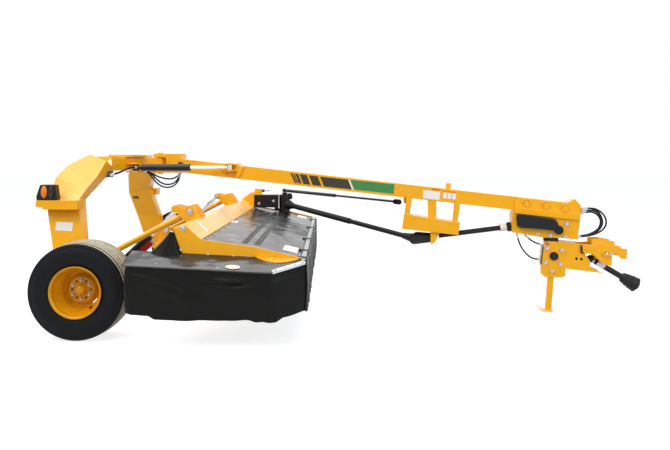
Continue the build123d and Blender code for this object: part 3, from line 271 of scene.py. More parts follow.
def sideways(direction):
    d = direction.normalized()
    other = up if abs(d.z) < 0.9 else ahead
    u = d.cross(other).normalized()
    return u, d.cross(u).normalized()


def addTurned(bm, profile, origin, direction, count=32, finish=0, loop=False):
    # profile is (distance along, radius) in millimetres; a radius of 0 closes an end
    u, v = sideways(direction)
    d = direction.normalized()
    rings = []
    for along, radius in profile:
        centre = origin + d * along / 1000
        if radius < 0.001:
            rings.append([bm.verts.new(centre)])
            continue
        ring = []
        for i in range(count):
            a = 2 * math.pi * i / count
            ring.append(bm.verts.new(centre + (u * math.cos(a) + v * math.sin(a)) * radius / 1000))
        rings.append(ring)
    pairs = list(zip(rings, rings[1:]))
    if loop:
        pairs.append((rings[-1], rings[0]))
    made = []
    for near, far in pairs:
        if len(near) == 1:
            made += [bm.faces.new((near[0], far[i], far[(i + 1) % count])) for i in range(count)]
        elif len(far) == 1:
            made += [bm.faces.new((near[i], near[(i + 1) % count], far[0])) for i in range(count)]
        else:
            made += bridgeRings(bm, near, far)
    return paintFaces(made, finish)


def addSlab(bm, outline, across, finish=0):
    # outline is a list of points, across the vector of its thickness
    near = [bm.verts.new(p) for p in outline]
    far = [bm.verts.new(p + across) for p in outline]
    made = [bm.faces.new(near), bm.faces.new(list(reversed(far)))]
    for i in range(len(near)):
        j = (i + 1) % len(near)
        made.append(bm.faces.new((near[j], near[i], far[i], far[j])))
    return paintFaces(made, finish)


def addBevel(piece, width, segments=3, angle=30):
    bevel = piece.modifiers.new("bevel", "BEVEL")
    bevel.width = width / 1000
    bevel.segments = segments
    bevel.limit_method = "ANGLE"
    bevel.angle_limit = math.radians(angle)


def addBlock(bm, low, high, place=machinePoint, finish=0):
    a, b = low, high
    outline = [place(a[0], a[1], a[2]), place(b[0], a[1], a[2]), place(b[0], b[1], a[2]),
        place(a[0], b[1], a[2])]
    return addSlab(bm, outline, up * (b[2] - a[2]) / 1000, finish)


def addTorus(bm, origin, direction, along, ringRadius, tubeRadius, count=64, finish=0):
    profile = []
    for i in range(10):
        a = 2 * math.pi * i / 10
        profile.append((along + tubeRadius * math.cos(a), ringRadius + tubeRadius * math.sin(a)))
    return addTurned(bm, profile, origin, direction, count, finish, loop=True)


def addRod(bm, start, end, radius, count=16, finish=0):
    length = (end - start).length * 1000
    return addTurned(bm, [(0, 0), (0, radius), (length, radius), (length, 0)], start, end - start, count,
        finish)


surfaceTrees = {}


def surfaceOf(node):
    if node not in surfaceTrees:
        mesh = nodes[node].data
        surfaceTrees[node] = BVHTree.FromPolygons([v.co for v in mesh.vertices],
                                                  [tuple(p.vertices) for p in mesh.polygons])
    return surfaceTrees[node]


filmPlan = {"columns": 8, "rows": 6, "cornerPull": 0.12, "lift": 0.0012}


def addFilm(bm, node, centre, look, width, height, finish=0, roundness=0.1, turn=0.0, upward=up):
    # a thin printed film laid on the node's surface, found by looking at centre along look
    look = look.normalized()
    side = look.cross(upward).normalized()
    rise = side.cross(look).normalized()
    across = side * math.cos(turn) + rise * math.sin(turn)
    rise = rise * math.cos(turn) - side * math.sin(turn)
    tree = surfaceOf(node)
    columns, rows = filmPlan["columns"], filmPlan["rows"]
    pull = roundness * filmPlan["cornerPull"]
    grid = []
    for r in range(rows + 1):
        line = []
        for c in range(columns + 1):
            s, t = 2 * c / columns - 1, 2 * r / rows - 1
            # corners pulled in
            squeezeS = s * math.sqrt(max(0.0, 1 - pull * t * t))
            squeezeT = t * math.sqrt(max(0.0, 1 - pull * s * s))
            p = centre + across * squeezeS * width / 2000 + rise * squeezeT * height / 2000
            hit = tree.ray_cast(p - look * 0.4, look, 0.9)[0]
            line.append(bm.verts.new((p if hit is None else hit) - look * filmPlan["lift"]))
        grid.append(line)
    for r in range(rows):
        for c in range(columns):
            face = bm.faces.new((grid[r][c], grid[r][c + 1], grid[r + 1][c + 1], grid[r + 1][c]))
            face.material_index = finish
            face.normal_update()
            if face.normal.dot(look) > 0:
                face.normal_flip()


# hydraulic hoses: each route is a list of points, millimetres
# the first three run from the datum, the others along the tongue
hosePlan = {"pivotRadius": 8.0, "cylinderRadius": 10.0, "hitchRadius": 8.0, "housingRadius": 8.0}
pivotRoutes = [
    ("pivot_hose_1", 0.549, [(-1980, -118, 1340), (-1932, -118, 1318), (-1890, -114, 1266),
    (-1836, -106, 1192), (-1752, -96, 1148), (-1668, -82, 1162), (-1612, -68, 1226), (-1598, -60, 1304)]),
    ("pivot_hose_2", 0.493, [(-1980, -88, 1340), (-1928, -88, 1322), (-1882, -84, 1276), (-1826, -78, 1216),
                             (-1756, -70, 1180), (-1676, -60, 1190), (-1624, -50, 1240), (-1611, -41, 1303)]),
    ("pivot_hose_3", 0.412, [(-1980, -58, 1330), (-1926, -58, 1312), (-1862, -56, 1278), (-1792, -50, 1250),
                             (-1716, -40, 1240), (-1652, -30, 1256), (-1606, -20, 1301)]),
]
cylinderRoute = [(-2120, -712, 1296), (-2068, -668, 1312), (-2030, -600, 1338), (-2010, -520, 1360),
                 (-1999, -440, 1371), (-1976, -352, 1371)]
housingRoutes = [
    ("housing_hose_1", 0.382, [(3952, -62, 487), (3872, -62, 489), (3814, -62, 524), (3764, -62, 584),
                               (3730, -62, 656), (3712, -62, 733)]),
    ("housing_hose_2", 0.204, [(3966, -30, 621), (3912, -30, 634), (3846, -30, 666), (3790, -30, 717)]),
]


def routeCurve(name, points, radius, finish):
    data = bpy.data.curves.new(name, "CURVE")
    data.dimensions = "3D"
    data.resolution_u = 10
    data.bevel_depth = radius / 1000
    data.bevel_resolution = 5
    data.use_fill_caps = radius > 0
    spline = data.splines.new("NURBS")
    spline.points.add(len(points) - 1)
    for point, place in zip(spline.points, points):
        point.co = (place.x, place.y, place.z, 1)
    spline.order_u = 3
    spline.use_endpoint_u = True
    data.materials.append(finish)
    curve = bpy.data.objects.new(name, data)
    scene.collection.objects.link(curve)
    return curve


def lineOfRoute(points):
    curve = routeCurve("route_line", points, 0, hoseRubber)
    bpy.context.view_layer.update()
    mesh = bpy.data.meshes.new_from_object(curve.evaluated_get(bpy.context.evaluated_depsgraph_get()))
    line = [v.co.copy() for v in mesh.vertices]
    bpy.data.objects.remove(curve)
    bpy.data.meshes.remove(mesh)
    return line


def addTube(bm, line, radius, count=14, finish=0):
    rings = []
    u = sideways(line[1] - line[0])[0]
    for i, centre in enumerate(line):
        d = (line[min(i + 1, len(line) - 1)] - line[max(i - 1, 0)]).normalized()
        u = (u - d * u.dot(d)).normalized()
        v = d.cross(u)
        rings.append([bm.verts.new(centre + (u * math.cos(a) + v * math.sin(a)) * radius / 1000)
                      for a in (2 * math.pi * k / count for k in range(count))])
    made = [bm.faces.new(rings[0]), bm.faces.new(list(reversed(rings[-1])))]
    for near, far in zip(rings, rings[1:]):
        for k in range(count):
            j = (k + 1) % count
            made.append(bm.faces.new((near[k], far[k], far[j], near[j])))
    return paintFaces(made, finish)


def addFerrule(bm, end, direction, radius):
    # swaged sleeve, collar and hex of a hose end; direction runs from the port into the hose
    r, d = radius, direction.normalized()
    sleeve = [(0, 0), (0, r + 1), (8, r + 1), (9, r + 2.4), (34, r + 2.4), (37, r + 1.2), (46, r + 1.2),
        (46, 0)]
    addTurned(bm, sleeve, end, d, 20)
    addTurned(bm, [(-2, 0), (-2, r + 4), (9, r + 4), (9, 0)], end, d, 6)


ferrules = {body: bmesh.new() for body in ("carriage", "tongue", "hitch_swivel")}
for name, length, places in pivotRoutes:
    route = [machinePoint(*p) for p in places]
    line = lineOfRoute(route)
    bm = bmesh.new()
    addTube(bm, line, hosePlan["pivotRadius"])
    hose = finishPiece("bent_" + name, bm, [hoseRubber], None, [name])
    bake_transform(hose)
    addFerrule(ferrules["carriage"], line[0], line[1] - line[0], hosePlan["pivotRadius"])
    addFerrule(ferrules["tongue"], line[-1], line[-2] - line[-1], hosePlan["pivotRadius"])


def freeHose(name, route, radius, body):
    hose = routeCurve("laid_" + name, route, radius, hoseRubber)
    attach(hose, body)
    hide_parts(name)
    addFerrule(ferrules[body], route[0], route[1] - route[0], radius)
    addFerrule(ferrules[body], route[-1], route[-2] - route[-1], radius)


freeHose("cylinder_hose", [machinePoint(*p) for p in cylinderRoute], hosePlan["cylinderRadius"],
    "carriage")

# hoses of the hitch: forward reach, upward shift, sideways shift at the loop's front, place of the lower end,
# the port's side place and height, and the length
hitchLoops = [
    (0.0, 0.0, -8.0, -30.0, -58.0, 984.0, 0.617), (-20.0, -4.0, 8.0, -8.0, -22.0, 958.0, 0.567),
    (-28.0, -6.0, 4.0, 14.0, 14.0, 934.0, 0.541), (-10.0, 8.0, -6.0, 38.0, 50.0, 972.0, 0.594),
]
for i, (reach, rise, sway, lowY, portY, portZ, length) in enumerate(hitchLoops):
    portX, frontY = 4312.0, portY + sway
    highZ = 0.35 * (984 + rise) + 0.65 * portZ
    route = [
        (portX, portY, portZ), (portX + 58 + reach * 0.3, portY, portZ + (highZ - portZ) * 0.3 + 4),
        (4438 + reach * 0.55, portY + sway * 0.4, highZ - 2),
        (4498 + reach * 0.85, frontY, highZ * 0.5 + 446 + rise),
        (4530 + reach, frontY, 864 + rise), (4508 + reach, frontY * 0.8 + lowY * 0.2, 790 + rise * 0.8),
        (4438 + reach * 0.6, frontY * 0.4 + lowY * 0.6, 741 + rise * 0.2), (4350, lowY, 714),
        (4262, lowY, 708),
    ]
    freeHose("hitch_hose_%d" % (i + 1), [tonguePoint(*p) for p in route], hosePlan["hitchRadius"],
        "tongue")
for name, length, route in housingRoutes:
    freeHose(name, [tonguePoint(*p) for p in route], hosePlan["housingRadius"], "hitch_swivel")
for body, bm in ferrules.items():
    finishPiece("hose_ends_" + body, bm, [zinc], body, sharp=40)
print("hoses laid")


# wheels: ribbed implement tyre and the trim of its rim
wheelPlan = {"boltCircle": 76.2, "valveCircle": 163.0, "lip": 203.5, "segments": 128}
# half of the tyre's section: distance from the middle, radius
tyreSection = [
    (0, 393.5), (19, 393.3), (22, 391.5), (24, 379), (35, 379), (37, 391), (40, 392.6), (60, 391.6),
    (63, 390), (65, 378), (77, 378), (79, 389), (82, 390.2), (102, 388.4), (105, 386.8), (107, 375),
    (119, 374.4), (121, 385.5), (124, 386.4), (143, 383.6), (150, 379), (155, 371), (158.5, 360),
    (157.5, 352), (160, 348), (165, 335), (169.5, 318), (171.2, 300), (171, 286), (168.5, 262), (165.5, 246),
    (166.5, 242), (166.5, 236), (163, 232), (158, 220), (151, 208), (143, 198.5), (140, 194),
]
hubSection = [(41, 0), (41, 45), (60, 43.5), (74, 40), (84, 32), (90, 20), (92, 0)]


def aroundAxle(centre, degrees, radius):
    turn = math.radians(degrees)
    return centre + (ahead * math.cos(turn) + up * math.sin(turn)) * radius / 1000


for sideName, side in (("right", -1), ("left", 1)):
    centre = machinePoint(layout["axleX"], side * layout["wheelY"], layout["axleZ"])
    outward = left * side
    bm = bmesh.new()
    section = [(-o, r) for o, r in reversed(tyreSection[1:])] + tyreSection
    for face in addTurned(bm, section, centre, outward, wheelPlan["segments"], 0, loop=True):
        middle = face.calc_center_median()
        radius = math.hypot(middle.x - centre.x, middle.z - centre.z) * 1000
        # the crown of the tread takes the pale tread rubber with its painted sheen
        if radius > 383 and abs(middle.y - centre.y) < 0.145:
            face.material_index = 1
    finishPiece("ribbed_tyre_" + sideName, bm, [rubber, treadRubber], "wheel_" + sideName,
                ["tyre_" + sideName], sharp=28)
    bm = bmesh.new()
    addTorus(bm, centre, outward, 164.5, wheelPlan["lip"], 5, 96, 0)
    addTorus(bm, centre, outward, 34, 101, 5, 72, 0)
    addTurned(bm, hubSection, centre, outward, 48, 0)
    for i in range(6):
        hole = aroundAxle(centre, 60 * i, wheelPlan["boltCircle"])
        addTurned(bm, [(33, 0), (33, 9), (34.4, 9), (34.4, 0)], hole, outward, 20, 2)
        nut = aroundAxle(centre, 60 * i + 30, wheelPlan["boltCircle"])
        addTurned(bm, [(33, 0), (33, 17), (37, 15), (37, 0)], nut, outward, 24, 1)
        addTurned(bm, [(37, 0), (37, 12.5), (49, 12.5), (52, 10.5), (52, 0)], nut, outward, 6, 1)
        addTurned(bm, [(52, 0), (52, 6), (58, 6), (59, 5), (59, 0)], nut, outward, 14, 1)
    # valve with its cap, by the rim's edge
    valve = aroundAxle(centre, -50, wheelPlan["valveCircle"])
    addTurned(bm, [(96, 0), (96, 6), (118, 5), (120, 4), (120, 7), (138, 6.5), (141, 4), (141, 0)], valve,
        outward, 14, 2)
    finishPiece("wheel_trim_" + sideName, bm, [rimEnamel, zinc, plastic], "wheel_" + sideName,
        sharp=35)
print("wheels dressed")


# curtains, shields and cover of the header
sheetPlan = {
    "shieldInner": 1755.6, "shieldThick": 5.0, "curtainThick": 4.0, "curtainTop": 3.0,
    "railX": -178.0, "coverHalf": 1744.0, "coverThick": 4.0, "coverHole": 84.0,
}
# the shield's outer edge and the curtain's path from above, from the rear to the front
shieldEdge = [(-1560, 1960), (-1300, 1960), (-900, 1960), (-520, 1960), (-434, 1958), (-425, 1953),
    (-300, 1873), (-184, 1796)]
curtainPath = [(-1553, 1775), (-1553, 1900), (-1548, 1946), (-1515, 1956), (-1200, 1957), (-800, 1957),
    (-440, 1956), (-420, 1946), (-300, 1869), (-192, 1800), (-180, 1792), (-170, 1776)]
# height of the curtain's hem: distance ahead, height
hemLine = [(-1560, 287), (-1480, 272), (-1382, 261), (-1315, 233), (-1100, 226), (-735, 225), (-632, 231),
    (-528, 212), (-415, 209), (-342, 236), (-180, 262)]


def bell(distance, width):
    return math.exp(-(distance / width) ** 2)


def between(table, x):
    # smooth reading of a table of (x, value)
    if x <= table[0][0]:
        return table[0][1]
    for (xa, a), (xb, b) in zip(table, table[1:]):
        if x <= xb:
            t = (x - xa) / (xb - xa)
            t = t * t * (3 - 2 * t)
            return a + (b - a) * t
    return table[-1][1]


def smoothPath(points, count, rounds=3):
    # corners cut three times, then evenly spaced
    for _ in range(rounds):
        cut = [points[0]]
        for a, b in zip(points, points[1:]):
            cut.append(tuple(0.75 * p + 0.25 * q for p, q in zip(a, b)))
            cut.append(tuple(0.25 * p + 0.75 * q for p, q in zip(a, b)))
        cut.append(points[-1])
        points = cut
    reach = [0.0]
    for a, b in zip(points, points[1:]):
        reach.append(reach[-1] + math.dist(a, b))
    spaced, k = [], 0
    for i in range(count):
        want = reach[-1] * i / (count - 1)
        while k < len(points) - 2 and reach[k + 1] < want:
            k += 1
        t = (want - reach[k]) / max(reach[k + 1] - reach[k], 1e-6)
        spaced.append(tuple(p + (q - p) * min(1.0, t) for p, q in zip(points[k], points[k + 1])))
    return spaced


def shieldHeight(x, y):
    # y is measured outwards on either side
    return 607 - math.tan(math.radians(3.07)) * (x + 870) - (79 / 205) * (y - 1960)


def addGrid(bm, rows, finish=0):
    # rows of points, already in metres; returns the faces
    grid = [[bm.verts.new(p) for p in row] for row in rows]
    made = []
    for near, far in zip(grid, grid[1:]):
        for i in range(len(near) - 1):
            made.append(bm.faces.new((near[i], near[i + 1], far[i + 1], far[i])))
    return paintFaces(made, finish)


def finishSheet(name, bm, finishes, outward, thickness, body, replaced, sharp=40):
    # outward is a vector that the middle of the sheet faces
    bm.normal_update()
    facing = sum((face.normal.dot(outward) * face.calc_area() for face in bm.faces), 0.0)
    if facing < 0:
        bmesh.ops.reverse_faces(bm, faces=bm.faces)
    piece = finishPiece(name, bm, finishes, body, replaced, sharp, closed=False)
    wall = piece.modifiers.new("thickness", "SOLIDIFY")
    wall.thickness = thickness / 1000
    wall.offset = -1
    return piece


def curtainBulge(x, z, t, seed):
    # how far the cloth stands out at a place, from its folds and its hang
    out = 12 * math.sin(math.pi * min(1, t * 1.05))
    # a long diagonal fold drawn from the rear top corner
    along, across = 0.93 * (x + 1520) - 0.37 * (z - 600), 0.37 * (x + 1520) + 0.93 * (z - 600)
    out += 15 * bell(across + 20, 46) * bell(along - 300, 300) - 9 * bell(across - 48, 40) * bell(along - 260,
        260)
    # the pinch under the shield
    arc = 528 - 36 * (1 - ((x + 740) / 260) ** 2)
    out += (-17 * bell(z - arc, 13) + 12 * bell(z - arc - 34, 20)) * bell(x + 740, 190)
    # creases where the cloth was folded for storage
    out -= 7 * bell(x + 425, 11) * (0.3 + 0.7 * t)
    out += 16 * bell(x + 560 + 40 * (1 - t), 30) * t ** 3 - 13 * bell(x + 500, 26) * t ** 3
    out += t ** 2 * (7 * math.sin(x / 61 + seed) + 5 * math.sin(x / 33 + 2 * seed))
    return out + 9 * noise.noise(Vector((x / 260, z / 190, seed))) + 3 * noise.noise(Vector((x / 70, z / 90,
        seed)))


curtainRows, curtainColumns = 40, 150
for sideName, side in (("right", -1), ("left", 1)):
    path = smoothPath(curtainPath, curtainColumns)
    rows = []
    for r in range(curtainRows + 1):
        t = r / curtainRows
        row = []
        for i, (x, y) in enumerate(path):
            x0, y0 = path[max(i - 1, 0)]
            x1, y1 = path[min(i + 1, curtainColumns - 1)]
            n = Vector((-(y1 - y0), x1 - x0)).normalized()
            topZ = shieldHeight(x, y) - sheetPlan["curtainTop"]
            lowZ = between(hemLine, x)
            z = topZ + (lowZ - topZ) * t
            # held along the top, so the folds grow from there
            out = curtainBulge(x, z, t, 1.3 if side < 0 else 4.1) * min(1, t * 5) - 3
            out *= min(1.0, 0.25 + i / 12, 0.25 + (curtainColumns - 1 - i) / 12)
            row.append(machinePoint(x + n.x * out, side * (y + n.y * out), z))
        rows.append(row)
    bm = bmesh.new()
    addGrid(bm, rows)
    curtain = finishSheet("side_curtain_" + sideName, bm, [vinyl], left * side, sheetPlan["curtainThick"],
        "header",
                          ["side_curtains"], sharp=60)
print("side curtains hung")

# end shields: rubber sheet from the end plate to a rolled rim, with a vinyl cone at the rear
coneFoot = [(-1400, 0), (-1396, 30), (-1380, 52), (-1345, 66), (-1310, 80), (-1260, 76), (-1210, 58),
    (-1165, 35), (-1160, 0)]
shieldColumns, shieldRows = 110, 22
for sideName, side in (("right", -1), ("left", 1)):
    inner = sheetPlan["shieldInner"]
    edge = smoothPath(shieldEdge, shieldColumns)
    rows = []
    for r in range(shieldRows + 4):
        row = []
        for i, (x, outerY) in enumerate(edge):
            v = min(1.0, r / shieldRows)
            y = inner + (outerY - inner) * v
            z = shieldHeight(x, y) + 6
            # crowned, drawn down by its bolts at the inner edge, a little wrinkled
            z += 7 * math.sin(math.pi * v) * (0.6 + 0.4 * math.sin(x / 130)) * min(1, i / 8)
            z += 5 * noise.noise(Vector((x / 120, y / 60, 3.7 + side))) * math.sin(math.pi * min(1,
                v * 0.9 + 0.05))
            z += 9 * bell(x + 1250, 120) * bell(v - 0.45, 0.3)
            if r > shieldRows:
                # the rim rolls over and down
                turn = (r - shieldRows) / 3 * math.radians(100)
                y += 5 * math.sin(turn)
                z -= 10 * (1 - math.cos(turn))
            row.append(machinePoint(x, side * y, z))
        rows.append(row)
    bm = bmesh.new()
    addGrid(bm, rows)
    shield = finishSheet("shield_sheet_" + sideName, bm, [coverRubber], up, sheetPlan["shieldThick"],
        "header",
                         ["end_shields"], sharp=60)

    bm = bmesh.new()
    bead = [machinePoint(x, side * (y - 1), shieldHeight(x, y) - 2) for x, y in edge]
    addTube(bm, bead, 5, 10, 0)
    finishPiece("shield_bead_" + sideName, bm, [vinyl], "header", sharp=60)

    bm = bmesh.new()
    rows = []
    foot = smoothPath(coneFoot, 49, 2)
    for r in range(29):
        t = r / 28
        row = []
        for i, (x, y) in enumerate(foot):
            footZ = shieldHeight(x, inner + y) + 8
            tipX, tipY = -1236 + (x + 1280) * 0.09, y * 0.22
            # the cloth sags inwards between its hem and its tip
            squeeze = t - 0.05 * math.sin(math.pi * t)
            fold = (1.6 * math.sin(i * 0.75) + 2 * math.sin(i * 0.3 + 4 * t)) * math.sin(math.pi * t) * min(1,
                y / 20)
            px = x + (tipX - x) * (t ** 0.95) + 0.4 * fold
            py = max(0.0, y + (tipY - y) * (t ** 0.9) + fold) + 2.5
            row.append(machinePoint(px, side * (inner + py), footZ + (884 - footZ) * squeeze))
        rows.append(row)
    addGrid(bm, rows)
    cone = finishSheet("vinyl_cone_" + sideName, bm, [vinyl], left * side, 3, "header",
                       ["end_shields"], sharp=60)
    bm = bmesh.new()
    addTorus(bm, machinePoint(-1236, side * (inner + 10), 878), (up + ahead * 0.2).normalized(), 0, 15, 5, 32,
        0)
    addRod(bm, machinePoint(-1236, side * (inner - 2), 880), machinePoint(-1236, side * (inner + 14), 880), 8,
        16, 0)
    # aluminium strip that clamps the curtain at the front corner
    strip = smoothPath([(-426, 1957), (-300, 1876), (-186, 1800)], 30)
    outer, inside = [], []
    for i, (x, y) in enumerate(strip):
        x0, y0 = strip[max(i - 1, 0)]
        x1, y1 = strip[min(i + 1, 29)]
        n = Vector((-(y1 - y0), x1 - x0)).normalized()
        z = shieldHeight(x, y) + 12
        outer.append((x + n.x * 4, y + n.y * 4, z))
        inside.append((x - n.x * 24, y - n.y * 24, z + 8))
    ring = [[machinePoint(a[0], side * a[1], a[2]), machinePoint(b[0], side * b[1], b[2]),
             machinePoint(b[0], side * b[1], b[2] - 4), machinePoint(a[0], side * a[1], a[2] - 18)]
            for a, b in zip(outer, inside)]
    verts = [[bm.verts.new(p) for p in four] for four in ring]
    made = [bm.faces.new(verts[0]), bm.faces.new(list(reversed(verts[-1])))]
    for near, far in zip(verts, verts[1:]):
        made += bridgeRings(bm, near, far)
    paintFaces(made, 1)
    finishPiece("shield_trim_" + sideName, bm, [zinc, aluminium], "header", sharp=35)
print("shields and cones made")


# front curtain: hangs from the rail in folds that grow downwards
frontRows, frontColumns = 34, 420
rows = []
for r in range(frontRows + 1):
    t = r / frontRows
    row = []
    for i in range(frontColumns + 1):
        y = -1800 + 3600 * i / frontColumns
        swell = 3 * noise.noise(Vector((y / 300, 7.7, 0)))
        wave = math.sin(y / 17 + 1.8 * math.sin(y / 210)) + 0.5 * math.sin(y / 41 + swell)
        out = (2 + 17 * t ** 1.2) * 0.6 * wave + 10 * math.sin(math.pi * t) * (0.6 + 0.4 * math.sin(y / 380))
        out += 7 * t * noise.noise(Vector((y / 90, t * 2, 5.1)))
        hem = 252 + 10 * noise.noise(Vector((y / 60, 1.1, 0))) + (14 if int((y + 1800) / 600) % 2 else 0)
        row.append(machinePoint(sheetPlan["railX"] + max(-3.0, out) * min(1, t * 6 + 0.05), y,
            660 + (hem - 660) * t))
    rows.append(row)
bm = bmesh.new()
addGrid(bm, rows)
front = finishSheet("front_curtain_sheet", bm, [vinyl], ahead, sheetPlan["curtainThick"], "header",
                    ["front_curtain"], sharp=60)
print("front curtain hung")

# top cover: one rubber sheet laid from the beam to the front rail, open round the gearbox column
coverLine = [(-1012, 807), (-930, 794), (-800, 775), (-700, 760), (-590, 743), (-480, 718), (-350, 687),
    (-222, 658)]


def coverHeight(x):
    for (xa, a), (xb, b) in zip(coverLine, coverLine[1:]):
        if x <= xb:
            return a + (b - a) * (x - xa) / (xb - xa)
    return coverLine[-1][1]


def coverRelief(x, y):
    # sag between its hold-downs, bright ridges across at two seams, slack folds by the beam at the far end
    s = (x + 1012) / 790
    relief = -9 * math.sin(math.pi * s) * (0.5 + 0.5 * math.sin(y / 240 + 0.8)) * (1 - bell(x + 600,
        60) * 0.5)
    relief += 7 * noise.noise(Vector((x / 150, y / 260, 2.2))) + 2.6 * noise.noise(Vector((x / 45, y / 110,
        8.8)))
    for seam, lean in ((-100, 0.10), (1230, -0.16)):
        off = y - seam - lean * (x + 600)
        relief += 6 * bell(off, 11) * (0.7 + 0.5 * noise.noise(Vector((x / 60, seam, 0))))
        relief -= 3 * bell(off - 26, 16)
    relief += 9 * bell(y - 1100 - 0.9 * (x + 800), 60) * bell(x + 860, 120)
    relief += 6 * bell(y + 500 + 0.4 * (x + 900), 50) * bell(x + 900, 110)
    return relief * math.sin(math.pi * min(1, max(0, s)))


hole = Vector((layout["headX"], layout["headY"]))
bm = bmesh.new()
coverRows, coverColumns = 52, 200
grid = []
for r in range(coverRows + 1):
    x = -1012 + 790 * r / coverRows
    line = []
    for c in range(coverColumns + 1):
        y = -sheetPlan["coverHalf"] + 2 * sheetPlan["coverHalf"] * c / coverColumns
        line.append([x, y])
    grid.append(line)
made = {}
for r in range(coverRows):
    for c in range(coverColumns):
        corners = [grid[r][c], grid[r][c + 1], grid[r + 1][c + 1], grid[r + 1][c]]
        inside = [(Vector(p) - hole).length < sheetPlan["coverHole"] for p in corners]
        if all(inside):
            continue
        face = []
        for rr, cc in ((r, c), (r, c + 1), (r + 1, c + 1), (r + 1, c)):
            if (rr, cc) not in made:
                x, y = grid[rr][cc]
                away = Vector((x, y)) - hole
                if away.length < sheetPlan["coverHole"]:
                    away = away.normalized() * sheetPlan["coverHole"]
                    x, y = hole.x + away.x, hole.y + away.y
                rise = coverRelief(x, y) * (1 - bell((Vector((x, y)) - hole).length, 140))
                made[(rr, cc)] = bm.verts.new(machinePoint(x, y, coverHeight(x) + rise))
            face.append(made[(rr, cc)])
        bm.faces.new(face)
cover = finishSheet("cover_sheet", bm, [coverRubber], up, sheetPlan["coverThick"], "header",
                    ["top_cover"], sharp=60)

# bonded strips on the cover, the front rail, the collar and the latches
bm = bmesh.new()
for x in (-716, -690, -612, -586):
    rows = []
    for offset, rise in ((-11, -1.5), (-10, 2.4), (10, 2.4), (11, -1.5)):
        row = []
        for i in range(90):
            y = -1506 + 3016 * i / 89
            if math.dist((x, y), hole) < 100:
                y = 1440 if y < hole.y else 1510
            row.append(machinePoint(x + offset, y, coverHeight(x + offset) + coverRelief(x, y) + rise))
        rows.append(row)
    addGrid(bm, rows, 0)
addTorus(bm, machinePoint(hole.x, hole.y, coverHeight(hole.x) + 4), up, 0, sheetPlan["coverHole"] + 4, 7, 64,
    0)
finishPiece("cover_strips", bm, [plastic], "header", sharp=50)
bm = bmesh.new()
railOutline = [(-221, 655), (-221, 664), (-190, 665), (-183.5, 660), (-183, 626), (-187, 626), (-188, 655)]
addSlab(bm, [machinePoint(x, -1725, z) for x, z in railOutline], left * 3.45, 0)
for y in (-1700, -1322, -565, 457, 1400):
    # a rubber latch over the rail with its steel staple
    tongueOutline = [(-262, 668), (-258, 676), (-215, 671), (-180, 668), (-173, 650), (-173, 604),
        (-180, 604), (-181, 648), (-190, 660)]
    addSlab(bm, [machinePoint(x, y - 17, z) for x, z in tongueOutline], left * 0.034, 1)
    addRod(bm, machinePoint(-171, y - 24, 622), machinePoint(-171, y + 24, 622), 4, 12, 0)
    addRod(bm, machinePoint(-236, y - 22, 680), machinePoint(-236, y + 22, 680), 4, 12, 0)
finishPiece("cover_rail", bm, [aluminium, plastic], "header", ["top_cover"], sharp=35)
print("cover laid")


# bolts, pins and nuts: one Geometry Nodes tree sets a hexagon head on its washer at each point
boltPlan = {"headRadius": 1.0, "headHeight": 0.62, "washerRadius": 1.38, "washerHeight": 0.18}


